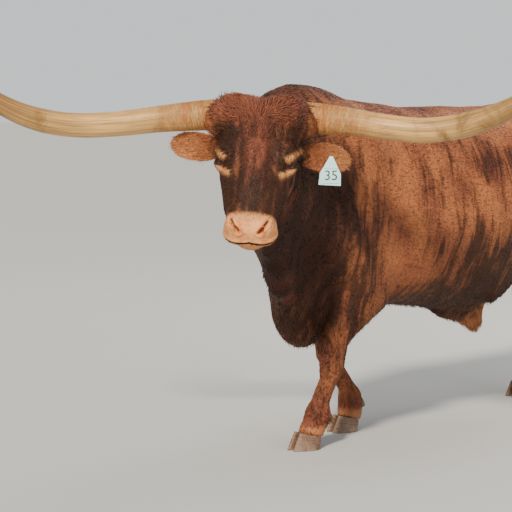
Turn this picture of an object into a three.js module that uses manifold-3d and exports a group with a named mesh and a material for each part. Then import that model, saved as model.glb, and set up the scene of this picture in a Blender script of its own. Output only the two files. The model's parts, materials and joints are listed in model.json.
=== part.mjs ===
// A life-size Texas longhorn steer, walking, with its head turned to its left.
// Millimetres, +Z up. The steer faces -Y and its left side is +X.
// The flesh is one smooth signed-distance field, turned into triangles in two regions (trunk with
// legs, and head), thinned, and parted by thin cuts. Horns, eyes, ears, hooves, tail and ear tag are
// pieces of their own that meet the flesh across a small gap.
import * as THREE from "three";
import { mergeVertices } from "three/addons/utils/BufferGeometryUtils.js";
import Module from "manifold-3d";

const wasm = await Module();
wasm.setup();

// Driving dimensions of the trunk
const GAP = 0.3; // clear space kept between touching pieces
const HUMP_TOP = 1425; // highest point, the crest over the shoulders
const BACK_TOP = 1322; // lowest point of the back
const HIP_TOP = 1340; // top of the rump
const CHEST_FLOOR = 525; // underside of the chest behind the elbows
const BELLY_FLOOR = 468; // lowest point of the paunch
const BRISKET_FLOOR = 388; // lowest point of the brisket
const ELBOW_HEIGHT = 615;
const KNEE_HEIGHT = 352;
const HOCK_HEIGHT = 512;
const FETLOCK_HEIGHT = 122;
const HOOF_HEIGHT = 72; // at the toe
const CORONET = { high: 58, slope: 0.25 }; // the flat between hoof and flesh falls to the heel
const ORIGIN = { x: 411.1, y: -43.1 }; // centre of the floor box, measured from the withers

// Head: the poll is the top of the skull between the horns
const POLL = { x: 338, y: -672, z: 1352 };
const HEAD_YAW = 43; // degrees to the left of straight ahead
const HEAD_TILT = 28; // degrees between the face and the vertical
const HEAD_ROLL = -2.8; // degrees about the way it faces; below zero the left side is lower
const HEAD_LENGTH = 540; // poll to the front of the muzzle
const EYE = { side: 124, along: 236, rise: -33, radius: 22.5, opening: [22, 11, 14] };
const EAR = { side: 120, along: 158, rise: -96, length: 214, halfWidth: 51 };
const EAR_DROP = { left: -0.07, right: -0.14 }; // how far each ear points down the face
const EAR_BACK = { left: -0.36, right: -0.18 }; // and backwards from it
const TAG = { width: 76, height: 104, thick: 2.2, shoulder: 54, neck: 11 };

const rad = THREE.MathUtils.degToRad;
const { clamp, lerp, smoothstep } = THREE.MathUtils;

// Head frame: side (to the left), along (poll to muzzle), rise (out of the forehead)
const facing = new THREE.Vector3(Math.sin(rad(HEAD_YAW)), -Math.cos(rad(HEAD_YAW)), 0);
const up = new THREE.Vector3(0, 0, 1);
const roll = new THREE.Quaternion().setFromAxisAngle(facing, rad(HEAD_ROLL));
const sideways = new THREE.Vector3().crossVectors(up, facing).applyQuaternion(roll);
const headUp = up.clone().applyQuaternion(roll);
const nose = facing.clone().multiplyScalar(Math.sin(rad(HEAD_TILT)))
  .addScaledVector(headUp, -Math.cos(rad(HEAD_TILT)));
const brow = facing.clone().multiplyScalar(Math.cos(rad(HEAD_TILT)))
  .addScaledVector(headUp, Math.sin(rad(HEAD_TILT)));
const poll = new THREE.Vector3(POLL.x, POLL.y, POLL.z);

// A point given in the head frame, in the part's frame
function fromHead(side, along, rise) {
  return poll.clone().addScaledVector(sideways, side).addScaledVector(nose, along)
    .addScaledVector(brow, rise);
}

// A direction given in the head frame, in the part's frame
function headDirection(side, along, rise) {
  return fromHead(side, along, rise).sub(poll).normalize();
}

// Faster than Math.hypot for a few million calls
const length2 = (a, b) => Math.sqrt(a * a + b * b);
const length3 = (a, b, c) => Math.sqrt(a * a + b * b + c * c);

// Signed-distance building blocks. Each returns a function of x, y, z.
const smoothUnion = (a, b, k) => {
  const h = Math.max(k - Math.abs(a - b), 0) / k;
  return Math.min(a, b) - h * h * k * 0.25;
};
const smoothCut = (a, b, k) => -smoothUnion(-a, b, k);

function ellipsoid([cx, cy, cz], [rx, ry, rz]) {
  return (x, y, z) => {
    const px = (x - cx) / rx;
    const py = (y - cy) / ry;
    const pz = (z - cz) / rz;
    const near = length3(px, py, pz);
    const slope = length3(px / rx, py / ry, pz / rz);
    return slope < 1e-9 ? -Math.min(rx, ry, rz) : (near * (near - 1)) / slope;
  };
}

// A tapered rod from a to b. flat narrows it sideways, and tall stretches it upwards.
function rod(a, b, ra, rb, flat = 1, tall = 1) {
  const [dx, dy, dz] = [b[0] - a[0], b[1] - a[1], b[2] - a[2]];
  const whole = dx * dx + dy * dy + dz * dz;
  return (x, y, z) => {
    const [px, py, pz] = [x - a[0], y - a[1], z - a[2]];
    const t = clamp((px * dx + py * dy + pz * dz) / whole, 0, 1);
    const off = length3((px - t * dx) * flat, py - t * dy, (pz - t * dz) / tall);
    return off - lerp(ra, rb, t);
  };
}

// Smooth value between rows of a table whose first column rises
function alongTable(rows, at, column) {
  if (at <= rows[0][0]) return rows[0][column];
  const last = rows.length - 1;
  if (at >= rows[last][0]) return rows[last][column];
  let i = 0;
  while (at > rows[i + 1][0]) i++;
  const [p, q] = [rows[i], rows[i + 1]];
  const before = rows[Math.max(i - 1, 0)];
  const after = rows[Math.min(i + 2, last)];
  const step = q[0] - p[0];
  const t = (at - p[0]) / step;
  const slopeIn = ((q[column] - before[column]) / (q[0] - before[0])) * step;
  const slopeOut = ((after[column] - p[column]) / (after[0] - p[0])) * step;
  const t2 = t * t;
  const t3 = t2 * t;
  return (2 * t3 - 3 * t2 + 1) * p[column] + (t3 - 2 * t2 + t) * slopeIn
    + (3 * t2 - 2 * t3) * q[column] + (t3 - t2) * slopeOut;
}

// A long body of oval sections: rows are [place, top, bottom, half width]. The widest level is a
// share of the height above the bottom, low narrows the part under it, and round is the end radius.
function loft(rows, { widest, low, power, round }) {
  const first = rows[0][0];
  const last = rows[rows.length - 1][0];
  return (across, along, high) => {
    const at = clamp(along, first, last);
    const top = alongTable(rows, at, 1);
    const bottom = alongTable(rows, at, 2);
    const level = lerp(bottom, top, widest);
    const half = high > level ? top - level : level - bottom;
    const drop = clamp((level - high) / (level - bottom), 0, 1);
    const width = alongTable(rows, at, 3) * lerp(1, low, drop);
    const ratio = Math.pow(
      Math.pow(Math.abs(across) / width, power) + Math.pow(Math.abs(high - level) / half, power),
      1 / power,
    );
    const section = (ratio - 1) * Math.min(width, half);
    const qx = section + round;
    const qy = Math.abs(along - (first + last) / 2) - (last - first) / 2 + round;
    return Math.min(Math.max(qx, qy), 0) + length2(Math.max(qx, 0), Math.max(qy, 0)) - round;
  };
}

// Trunk sections from the chest back to the rump: [y, top, bottom, half width]
const TRUNK_ROWS = [
  [-330, 1270, 640, 150],
  [-230, HUMP_TOP - 105, 560, 205],
  [-60, HUMP_TOP - 92, CHEST_FLOOR + 5, 255],
  [160, BACK_TOP + 6, CHEST_FLOOR, 300],
  [420, BACK_TOP, BELLY_FLOOR + 28, 350],
  [680, BACK_TOP + 5, BELLY_FLOOR, 365],
  [880, HIP_TOP - 12, BELLY_FLOOR + 82, 325],
  [1060, HIP_TOP, BELLY_FLOOR + 230, 270],
  [1220, HIP_TOP - 35, BELLY_FLOOR + 360, 205],
  [1320, HIP_TOP - 110, BELLY_FLOOR + 430, 130],
];
const trunk = loft(TRUNK_ROWS, { widest: 0.46, low: 0.9, power: 2.15, round: 90 });

// Joints of each leg, from the trunk down. side is +1 on the left.
const LEGS = {
  fore_left: {
    side: 1, fore: true,
    top: [195, -235, 850], elbow: [188, 5, ELBOW_HEIGHT], knee: [138, -148, KNEE_HEIGHT],
    fetlock: [114, -196, FETLOCK_HEIGHT], foot: [110, -252, 0],
  },
  fore_right: {
    side: -1, fore: true,
    top: [-185, -215, 850], elbow: [-182, 15, ELBOW_HEIGHT], knee: [-98, 44, KNEE_HEIGHT],
    fetlock: [-60, 136, FETLOCK_HEIGHT], foot: [-54, 104, 0],
  },
  hind_left: {
    side: 1, fore: false,
    top: [185, 1020, 1050], elbow: [222, 880, 725], knee: [168, 1195, HOCK_HEIGHT],
    fetlock: [152, 1115, FETLOCK_HEIGHT + 8], foot: [150, 1060, 0],
  },
  hind_right: {
    side: -1, fore: false,
    top: [-185, 1030, 1050], elbow: [-215, 915, 725], knee: [-158, 1318, HOCK_HEIGHT + 8],
    fetlock: [-142, 1338, FETLOCK_HEIGHT + 8], foot: [-138, 1290, 0],
  },
};

const offset = (p, dx, dy, dz) => [p[0] + dx, p[1] + dy, p[2] + dz];

// Solid shapes of a front leg: shoulder, arm, forearm, knee, cannon, fetlock and pastern
function foreLegShapes({ side, top, elbow, knee, fetlock, foot }) {
  const out = side * 12;
  return [
    [ellipsoid([side * 172, -110, 1010], [88, 165, 300]), 90],
    [rod(offset(top, 0, 15, 20), offset(elbow, -out, -30, 50), 92, 92, 1.12), 80],
    [ellipsoid(offset(elbow, 0, 30, 10), [52, 62, 72]), 50],
    [rod(offset(elbow, 0, -35, 0), offset(knee, 0, 8, 60), 96, 50, 1.3), 50],
    [rod(offset(elbow, 0, 20, -40), offset(knee, 0, 22, 70), 60, 36, 1.2), 40],
    [rod(offset(knee, 0, -4, 34), offset(knee, 0, 2, -26), 55, 50, 1.12), 32],
    [ellipsoid(offset(knee, 0, 40, 22), [34, 32, 34]), 22],
    [rod(offset(knee, 0, 6, -40), offset(fetlock, 0, -4, 34), 37, 33, 1.06), 36],
    [rod(offset(knee, 0, 26, -50), offset(fetlock, 0, 22, 30), 20, 22, 1.3), 24],
    [ellipsoid(offset(fetlock, 0, 0, 4), [47, 47, 44]), 30],
    [rod(fetlock, offset(foot, 0, 26, 66), 42, 50, 0.92), 26],
  ];
}

// Solid shapes of a hind leg: haunch, thigh, second thigh, hock, cannon, fetlock and pastern
function hindLegShapes({ side, top, elbow, knee, fetlock, foot }) {
  return [
    [ellipsoid(top, [112, 200, 235]), 100],
    [rod(offset(top, 0, -60, -40), offset(elbow, 0, 10, 20), 165, 112, 1.35), 90],
    [rod([side * 128, 1275, 1110], offset(knee, 0, -62, 190), 84, 76, 1.05), 80],
    [rod(offset(elbow, -side * 4, 225, 245), offset(knee, 0, -100, 165), 126, 72, 1.2), 80],
    [rod(offset(elbow, 0, 40, 10), offset(knee, 0, -16, 62), 118, 54, 1.35), 60],
    [rod(offset(knee, 0, -18, 210), offset(knee, 0, 40, 28), 34, 27, 1.1), 34],
    [rod(offset(knee, 0, 0, 30), offset(knee, 0, -4, -40), 53, 46, 1.2), 34],
    [ellipsoid(offset(knee, 0, 40, 26), [27, 27, 34]), 24],
    [rod(offset(knee, 0, -4, -40), offset(fetlock, 0, -4, 36), 42, 34, 1.1), 36],
    [rod(offset(knee, 0, 26, -40), offset(fetlock, 0, 22, 30), 22, 22, 1.3), 24],
    [ellipsoid(offset(fetlock, 0, 0, 4), [48, 48, 45]), 30],
    [rod(fetlock, offset(foot, 0, 26, 66), 42, 50, 0.92), 26],
  ];
}

// Neck, throat and dewlap: [shape, blend]
const NECK_SHAPES = [
  [rod([0, -150, 985], [140, -430, 1045], 172, 132, 1, 1.95), 120],
  [rod([140, -430, 1045], [252, -580, 1120], 132, 112, 1, 1.6), 80],
  [rod([260, -580, 905], [150, -426, 722], 34, 38, 1, 2.2), 70],
  [rod([150, -426, 722], [22, -228, 562], 38, 70, 1, 1.7), 70],
];

// Hump, brisket, hips, tail head and sheath as well
const TRUNK_SHAPES = [
  [ellipsoid([0, -248, HUMP_TOP - 148], [88, 190, 118]), 90],
  [ellipsoid([0, 5, 1215], [95, 260, 112]), 80],
  ...NECK_SHAPES,
  [ellipsoid([4, -172, BRISKET_FLOOR + 164], [82, 140, 170]), 70],
  [ellipsoid([232, 905, 1238], [52, 70, 54]), 80],
  [ellipsoid([-232, 905, 1238], [52, 70, 54]), 80],
  [ellipsoid([78, 1318, 1175], [52, 48, 62]), 60],
  [ellipsoid([-78, 1318, 1175], [52, 48, 62]), 60],
  [rod([0, 1180, 1318], [0, 1352, 1268], 62, 44), 60],
  [rod([0, 660, BELLY_FLOOR + 30], [0, 812, BELLY_FLOOR - 72], 80, 25, 1.15), 60],
  [rod([0, 812, BELLY_FLOOR - 20], [0, 1020, 690], 24, 40, 1.2, 1.4), 90],
];

// Flank folds in front of each stifle
for (const side of [1, -1]) {
  TRUNK_SHAPES.push([rod([side * 205, 700, 560], [side * 232, 880, 730], 46, 70, 1.8), 70]);
}
for (const leg of Object.values(LEGS)) {
  TRUNK_SHAPES.push(...(leg.fore ? foreLegShapes(leg) : hindLegShapes(leg)));
}

// Head sections from the poll to the muzzle: [along, top, bottom, half width]
const HEAD_ROWS = [
  [-20, -22, -150, 92],
  [40, 4, -190, 122],
  [120, 12, -225, 132],
  [190, 14, -238, 130],
  [240, 10, -240, 124],
  [310, 2, -222, 106],
  [390, -8, -190, 90],
  [450, -13, -160, 85],
  [HEAD_LENGTH - 38, -48, -150, 80],
  [HEAD_LENGTH - 20, -78, -142, 72],
];
const skull = loft(HEAD_ROWS, { widest: 0.62, low: 0.66, power: 2.5, round: 34 });

// Both sides of the head share these shapes, given for the left side: [shape, blend]
const HEAD_SIDE_SHAPES = [
  [ellipsoid([86, 30, -38], [66, 54, 54]), 46], // hairy boss under the horn
  [rod([84, 62, -46], [146, 64, -50], 62, 60), 34], // root of the horn
  [ellipsoid([108, 210, -28], [42, 54, 34]), 34], // brow
  [ellipsoid([EYE.side - 1, EYE.along, EYE.rise], [29, 32, 29]), 14], // lids over the eye
  [rod([100, 285, -66], [80, 400, -74], 26, 18), 30], // cheek bone
  [ellipsoid([78, 232, -150], [44, 100, 84]), 40], // jaw muscle
  [ellipsoid([48, HEAD_LENGTH - 58, -84], [44, 40, 28]), 22], // upper lip
  [ellipsoid([56, HEAD_LENGTH - 64, -42], [30, 30, 30]), 18], // wing of the nostril
  [rod([112, 150, -92], [140, 154, -112], 30, 26), 26], // root of the ear
];
const MUZZLE = ellipsoid([0, HEAD_LENGTH - 76, -78], [86, 54, 58]);
const CHIN = ellipsoid([0, HEAD_LENGTH - 62, -128], [58, 50, 30]);
const THROAT = rod([0, 250, -190], [0, 130, -190], 60, 80);
const NOSTRIL = rod([36, HEAD_LENGTH - 38, -44], [66, HEAD_LENGTH - 66, -14], 7, 5.5);
const NOSTRIL_DEEP = rod([48, HEAD_LENGTH - 48, -32], [40, HEAD_LENGTH - 74, -60], 9, 7);
const mouthRise = (along) => lerp(-114, -84, smoothstep(along, 400, HEAD_LENGTH - 34));

// The eye looks outwards; its lids part along a slanted slit
const EYE_LOOK = { side: 0.78, along: 0.22, rise: 0.58 };
const EYE_SLIT = { side: -0.5, along: 0.74, rise: 0.42 };

// Signed distance of the head in its own frame; its left and right sides mirror each other
function headField(side, along, rise) {
  const s = Math.abs(side);
  let d = skull(s, along, rise);
  for (const [shape, blend] of HEAD_SIDE_SHAPES) d = smoothUnion(d, shape(s, along, rise), blend);
  d = smoothUnion(d, MUZZLE(side, along, rise), 26);
  d = smoothUnion(d, CHIN(side, along, rise), 14);
  d = smoothUnion(d, THROAT(side, along, rise), 60);
  const lips = smoothstep(along, 400, 440) * smoothstep(d, 26, 8);
  d += 9 * lips * Math.exp(-(((rise - mouthRise(along)) / 5.5) ** 2));
  const philtrum = smoothstep(along, HEAD_LENGTH - 40, HEAD_LENGTH - 15);
  d += 3 * philtrum * Math.exp(-((side / 6) ** 2)) * smoothstep(rise, -125, -95);
  if (s < 90 && along > HEAD_LENGTH - 70) {
    d = smoothCut(d, NOSTRIL(s, along, rise), 6);
    d = smoothCut(d, NOSTRIL_DEEP(s, along, rise), 6);
  }
  const bone = 5 * Math.exp(-(((s - 62) / 26) ** 2)) * smoothstep(along, 60, 130);
  return d + bone * smoothstep(rise, -40, 0) * (1 - smoothstep(along, 300, 380));
}

// Signed distance of the whole skin in the part's frame. Ahead of the chest only the neck's and
// dewlap's shapes are near enough to count.
function skin(x, y, z) {
  let d = trunk(x, y, z);
  const shapes = y < -440 && z > 740 ? NECK_SHAPES : TRUNK_SHAPES;
  for (const [shape, blend] of shapes) d = smoothUnion(d, shape(x, y, z), blend);
  if (y > -300 || z < 560) return d;
  const px = x - POLL.x;
  const py = y - POLL.y;
  const pz = z - POLL.z;
  const side = px * sideways.x + py * sideways.y + pz * sideways.z;
  const along = px * nose.x + py * nose.y + pz * nose.z;
  const rise = px * brow.x + py * brow.y + pz * brow.z;
  return smoothUnion(d, headField(side, along, rise), 46);
}

// Surface nets: one vertex in each cell that the surface crosses, joined across each crossed edge
function polygonise(field, low, high, cell) {
  const n = low.map((v, i) => Math.ceil((high[i] - v) / cell) + 1);
  const [nx, ny, nz] = n;
  const value = new Float32Array(nx * ny * nz);
  const index = (i, j, k) => (k * ny + j) * nx + i;
  for (let k = 0; k < nz; k++)
    for (let j = 0; j < ny; j++)
      for (let i = 0; i < nx; i++) {
        const edge = i < 2 || j < 2 || k < 2 || i === nx - 1 || j === ny - 1 || k === nz - 1;
        const d = field(low[0] + i * cell, low[1] + j * cell, low[2] + k * cell);
        value[index(i, j, k)] = edge ? Math.max(d, 0.2 * cell) : d || 1e-4;
      }
  const vertexOf = new Int32Array(nx * ny * nz).fill(-1);
  const position = [];
  for (let k = 0; k < nz - 1; k++)
    for (let j = 0; j < ny - 1; j++)
      for (let i = 0; i < nx - 1; i++) {
        const sum = [0, 0, 0];
        let crossed = 0;
        for (let axis = 0; axis < 3; axis++)
          for (let c = 0; c < 4; c++) {
            const a = [i, j, k];
            a[(axis + 1) % 3] += c & 1;
            a[(axis + 2) % 3] += c >> 1;
            const b = a.slice();
            b[axis]++;
            const va = value[index(...a)];
            const vb = value[index(...b)];
            if (va < 0 === vb < 0) continue;
            a[axis] += va / (va - vb);
            for (let m = 0; m < 3; m++) sum[m] += a[m];
            crossed++;
          }
        if (!crossed) continue;
        vertexOf[index(i, j, k)] = position.length / 3;
        for (let m = 0; m < 3; m++) position.push(low[m] + (sum[m] / crossed) * cell);
      }
  const faces = [];
  for (let k = 1; k < nz - 1; k++)
    for (let j = 1; j < ny - 1; j++)
      for (let i = 1; i < nx - 1; i++)
        for (let axis = 0; axis < 3; axis++) {
          const next = [i, j, k];
          next[axis]++;
          const inside = value[index(i, j, k)] < 0;
          if (inside === value[index(...next)] < 0) continue;
          const around = [[0, 0], [-1, 0], [-1, -1], [0, -1]].map(([p, q]) => {
            const c = [i, j, k];
            c[(axis + 1) % 3] += p;
            c[(axis + 2) % 3] += q;
            return vertexOf[index(...c)];
          });
          const [a, b, c, d] = inside ? around : around.reverse();
          faces.push([a, b, c], [a, c, d]);
        }
  return { position, faces };
}

// Least-error edge collapse (Garland and Heckbert) down to a number of triangles, or until the
// next step would cost more than a limit. Edges under a tenth of a millimetre go first.
function thin({ position, faces }, wanted, limit = Infinity) {
  const count = position.length / 3;
  const point = Float64Array.from(position);
  const quadric = new Float64Array(count * 10);
  const around = Array.from({ length: count }, () => new Set());
  const alive = new Uint8Array(faces.length).fill(1);
  const p = (v) => [point[3 * v], point[3 * v + 1], point[3 * v + 2]];
  const sub = (a, b) => [a[0] - b[0], a[1] - b[1], a[2] - b[2]];
  const cross = (a, b) =>
    [a[1] * b[2] - a[2] * b[1], a[2] * b[0] - a[0] * b[2], a[0] * b[1] - a[1] * b[0]];
  const dot = (a, b) => a[0] * b[0] + a[1] * b[1] + a[2] * b[2];
  faces.forEach((face, f) => {
    const [a, b, c] = face.map(p);
    const normal = cross(sub(b, a), sub(c, a));
    const size = Math.hypot(...normal) || 1;
    const [x, y, z] = normal.map((v) => v / size);
    const w = -dot([x, y, z], a);
    const terms = [x * x, x * y, x * z, x * w, y * y, y * z, y * w, z * z, z * w, w * w];
    for (const v of face) {
      around[v].add(f);
      for (let m = 0; m < 10; m++) quadric[10 * v + m] += terms[m] * size;
    }
  });
  const error = (u, v, [x, y, z]) => {
    const q = (m) => quadric[10 * u + m] + quadric[10 * v + m];
    return q(0) * x * x + 2 * q(1) * x * y + 2 * q(2) * x * z + 2 * q(3) * x + q(4) * y * y
      + 2 * q(5) * y * z + 2 * q(6) * y + q(7) * z * z + 2 * q(8) * z + q(9);
  };
  // The best place for the joined vertex, or the best of the ends and the middle
  const target = (u, v) => {
    const q = (m) => quadric[10 * u + m] + quadric[10 * v + m];
    const rows = [[q(0), q(1), q(2)], [q(1), q(4), q(5)], [q(2), q(5), q(7)]];
    const right = [-q(3), -q(6), -q(8)];
    const yz = cross(rows[1], rows[2]);
    const det = dot(rows[0], yz);
    const middle = p(u).map((value, m) => (value + p(v)[m]) / 2);
    const span = Math.hypot(...sub(p(u), p(v)));
    if (Math.abs(det) > 1e-4 * Math.pow(q(0) + q(4) + q(7), 3)) {
      const zx = cross(rows[2], rows[0]);
      const xy = cross(rows[0], rows[1]);
      const best = [0, 1, 2].map(
        (m) => (right[0] * yz[m] + right[1] * zx[m] + right[2] * xy[m]) / det);
      if (Math.hypot(...sub(best, middle)) < 1.2 * span) return best;
    }
    return [p(u), p(v), middle].sort((a, b) => error(u, v, a) - error(u, v, b))[0];
  };
  const heap = [];
  const stamp = new Uint32Array(count);
  const push = (u, v) => {
    const at = target(u, v);
    const tiny = Math.hypot(...sub(p(u), p(v))) < 0.1;
    const item = { cost: tiny ? 0 : error(u, v, at), u, v, at, su: stamp[u], sv: stamp[v] };
    let i = heap.push(item) - 1;
    while (i && heap[(i - 1) >> 1].cost > item.cost) {
      heap[i] = heap[(i - 1) >> 1];
      i = (i - 1) >> 1;
    }
    heap[i] = item;
  };
  const pop = () => {
    const top = heap[0];
    const item = heap.pop();
    let i = 0;
    for (let c = 1; c < heap.length; c = 2 * i + 1) {
      if (c + 1 < heap.length && heap[c + 1].cost < heap[c].cost) c++;
      if (heap[c].cost >= item.cost) break;
      heap[i] = heap[c];
      i = c;
    }
    if (heap.length) heap[i] = item;
    return top;
  };
  for (const [a, b, c] of faces) {
    if (a < b) push(a, b);
    if (b < c) push(b, c);
    if (c < a) push(c, a);
  }
  const ring = (v) => {
    const found = new Set();
    for (const f of around[v]) for (const w of faces[f]) if (w !== v) found.add(w);
    return found;
  };
  const flips = (v, other, at) => {
    for (const f of around[v]) {
      if (faces[f].includes(other)) continue;
      const before = faces[f].map(p);
      const after = faces[f].map((w, m) => (w === v ? at : before[m]));
      const old = cross(sub(before[1], before[0]), sub(before[2], before[0]));
      const now = cross(sub(after[1], after[0]), sub(after[2], after[0]));
      if (dot(old, now) < 0.25 * Math.hypot(...old) * Math.hypot(...now)) return true;
    }
    return false;
  };
  let left = faces.length;
  while (left > wanted && heap.length) {
    const { cost, u, v, at, su, sv } = pop();
    if (cost > limit) break;
    if (stamp[u] !== su || stamp[v] !== sv) continue;
    const ringV = ring(v);
    const shared = [...ring(u)].filter((w) => ringV.has(w));
    if (shared.length !== 2 || flips(u, v, at) || flips(v, u, at)) continue;
    for (const f of [...around[v]]) {
      if (faces[f].includes(u)) {
        for (const w of faces[f]) around[w].delete(f);
        alive[f] = 0;
        left--;
      } else {
        faces[f] = faces[f].map((w) => (w === v ? u : w));
        around[u].add(f);
      }
    }
    around[v].clear();
    point.set(at, 3 * u);
    for (let m = 0; m < 10; m++) quadric[10 * u + m] += quadric[10 * v + m];
    stamp[v]++;
    stamp[u]++;
    for (const w of ring(u)) push(u, w);
  }
  return { position: point, faces: faces.filter((_, f) => alive[f]) };
}

// Geometry and solids
function geometryOf({ position, faces }) {
  const geometry = new THREE.BufferGeometry();
  geometry.setAttribute("position", new THREE.BufferAttribute(Float32Array.from(position), 3));
  geometry.setIndex(faces.flat());
  return geometry;
}

// A closed solid with its faces turned outwards
function solidOf(geometry) {
  const bare = new THREE.BufferGeometry();
  bare.setAttribute("position", geometry.getAttribute("position"));
  bare.setIndex(geometry.index);
  const merged = mergeVertices(bare, 1e-3);
  const vertProperties = merged.attributes.position.array;
  const triVerts = Uint32Array.from(merged.index.array);
  const made = new wasm.Manifold(new wasm.Mesh({ numProp: 3, vertProperties, triVerts }));
  if (made.volume() > 0) return made;
  for (let i = 0; i < triVerts.length; i += 3) {
    [triVerts[i + 1], triVerts[i + 2]] = [triVerts[i + 2], triVerts[i + 1]];
  }
  return new wasm.Manifold(new wasm.Mesh({ numProp: 3, vertProperties, triVerts }));
}

function geometryFrom(solid) {
  const mesh = solid.getMesh();
  const geometry = new THREE.BufferGeometry();
  geometry.setAttribute("position", new THREE.BufferAttribute(mesh.vertProperties, 3));
  geometry.setIndex(new THREE.BufferAttribute(mesh.triVerts, 1));
  return geometry;
}

// The same solid without the slivers that cuts leave. Where two folds of it touch at a point,
// they are drawn back from each other a little.
function tidied(solid) {
  const { vertProperties, triVerts } = solid.getMesh();
  const faces = [];
  for (let i = 0; i < triVerts.length; i += 3) faces.push([...triVerts.subarray(i, i + 3)]);
  const geometry = geometryOf(thin({ position: vertProperties, faces }, 0, 0.02));
  geometry.computeVertexNormals();
  const { position, normal } = geometry.attributes;
  const point = new THREE.Vector3();
  const seen = new Map();
  for (const v of new Set(geometry.index.array)) {
    const key = point.fromBufferAttribute(position, v).toArray().map((c) => c.toFixed(2)).join();
    if (seen.has(key)) {
      for (const w of [v, seen.get(key)]) {
        const drawn = new THREE.Vector3().fromBufferAttribute(normal, w).multiplyScalar(-GAP);
        position.setXYZ(w, ...point.clone().add(drawn).toArray());
      }
    }
    seen.set(key, v);
  }
  return solidOf(geometry);
}

// Only the largest closed surface of a solid
function largest(solid) {
  return solid.decompose().sort((a, b) => b.volume() - a.volume())[0];
}

// A copy of a solid grown by a distance along its vertex normals
function grown(solid, by) {
  const geometry = geometryFrom(solid);
  geometry.computeVertexNormals();
  const { position, normal } = geometry.attributes;
  for (let i = 0; i < position.count; i++) {
    position.setXYZ(i, position.getX(i) + by * normal.getX(i),
      position.getY(i) + by * normal.getY(i), position.getZ(i) + by * normal.getZ(i));
  }
  return solidOf(geometry);
}

// A block with its base centre at a point and its height along a direction. Its width runs
// sideways, and its depth lies square to both.
function block(at, direction, width, depth, height) {
  const geometry = new THREE.BoxGeometry(width, depth, height).translate(0, 0, height / 2);
  const way = direction.clone().normalize();
  const across = new THREE.Vector3(1, 0, 0).projectOnPlane(way).normalize();
  const turn = new THREE.Matrix4().makeBasis(across, way.clone().cross(across), way);
  geometry.applyMatrix4(turn.setPosition(at.x, at.y, at.z));
  return solidOf(geometry);
}

// The space that holds one leg: a box whose top slopes, and whose foot differs from its top.
// top and bottom are [near x, far x, low y, high y], with x counted out from the middle.
function wedge(side, top, height, slope, bottom) {
  const geometry = new THREE.BoxGeometry(1, 1, 1);
  const { position } = geometry.attributes;
  const midX = (top[0] + top[1]) / 2;
  const midY = (top[2] + top[3]) / 2;
  for (let i = 0; i < position.count; i++) {
    const isTop = position.getZ(i) > 0;
    const edges = isTop ? top : bottom;
    const x = edges[position.getX(i) < 0 ? 0 : 1];
    const y = edges[position.getY(i) < 0 ? 2 : 3];
    const z = isTop ? height + slope[0] * (x - midX) + slope[1] * (y - midY) : -60;
    position.setXYZ(i, side * x, y, z);
  }
  return solidOf(geometry);
}

// A closed tube along a curve. radii gives [across, upright] half sizes at t from 0 to 1.
function sweep(curve, radii, steps, sides, upright = up) {
  const position = [];
  const faces = [];
  const middle = (t) => position.push(...curve.getPointAt(t).toArray()) / 3 - 1;
  const start = middle(0);
  for (let i = 0; i <= steps; i++) {
    const t = i / steps;
    const at = curve.getPointAt(t);
    const way = curve.getTangentAt(t);
    const across = new THREE.Vector3().crossVectors(way, upright).normalize();
    const high = new THREE.Vector3().crossVectors(across, way);
    const [wide, tall] = radii(t);
    for (let s = 0; s < sides; s++) {
      const turn = (2 * Math.PI * s) / sides;
      const p = at.clone().addScaledVector(across, wide * Math.cos(turn))
        .addScaledVector(high, tall * Math.sin(turn));
      position.push(...p.toArray());
    }
  }
  const end = middle(1);
  const v = (i, s) => start + 1 + i * sides + (s % sides);
  for (let s = 0; s < sides; s++) {
    faces.push([start, v(0, s), v(0, s + 1)], [end, v(steps, s + 1), v(steps, s)]);
    for (let i = 0; i < steps; i++) {
      faces.push([v(i, s), v(i + 1, s), v(i + 1, s + 1)], [v(i, s), v(i + 1, s + 1), v(i, s + 1)]);
    }
  }
  return solidOf(geometryOf({ position, faces }));
}

// Horns: control points as [side, height above the poll, forward], and radii along the length
const HORN_PATH = {
  left: [[118, -58, -46], [206, -60, -44], [328, -64, -34], [445, -76, -23], [570, -80, 5],
    [709, -57, 41], [846, -2, 83], [985, 90, 122], [1085, 195, 140], [1150, 310, 128],
    [1180, 400, 96]],
  right: [[118, -60, -46], [191, -65, -44], [366, -88, -30], [521, -113, -6], [674, -124, 32],
    [798, -109, 68], [924, -61, 104], [1040, 20, 136], [1122, 132, 142], [1172, 256, 120],
    [1196, 350, 88]],
};
const HORN_RADII = [[0, 57], [0.07, 55], [0.2, 46], [0.4, 44], [0.5, 43], [0.64, 34], [0.8, 24],
  [0.93, 13], [1, 5]];

function horn(name) {
  const flip = name === "left" ? 1 : -1;
  const points = HORN_PATH[name].map(([side, high, ahead]) => poll.clone()
    .addScaledVector(sideways, flip * side).addScaledVector(headUp, high)
    .addScaledVector(facing, ahead));
  const curve = new THREE.CatmullRomCurve3(points);
  const radius = (t) => alongTable(HORN_RADII, t, 1);
  return sweep(curve, (t) => [radius(t), radius(t) * 0.97], 22, 12, facing);
}

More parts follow.
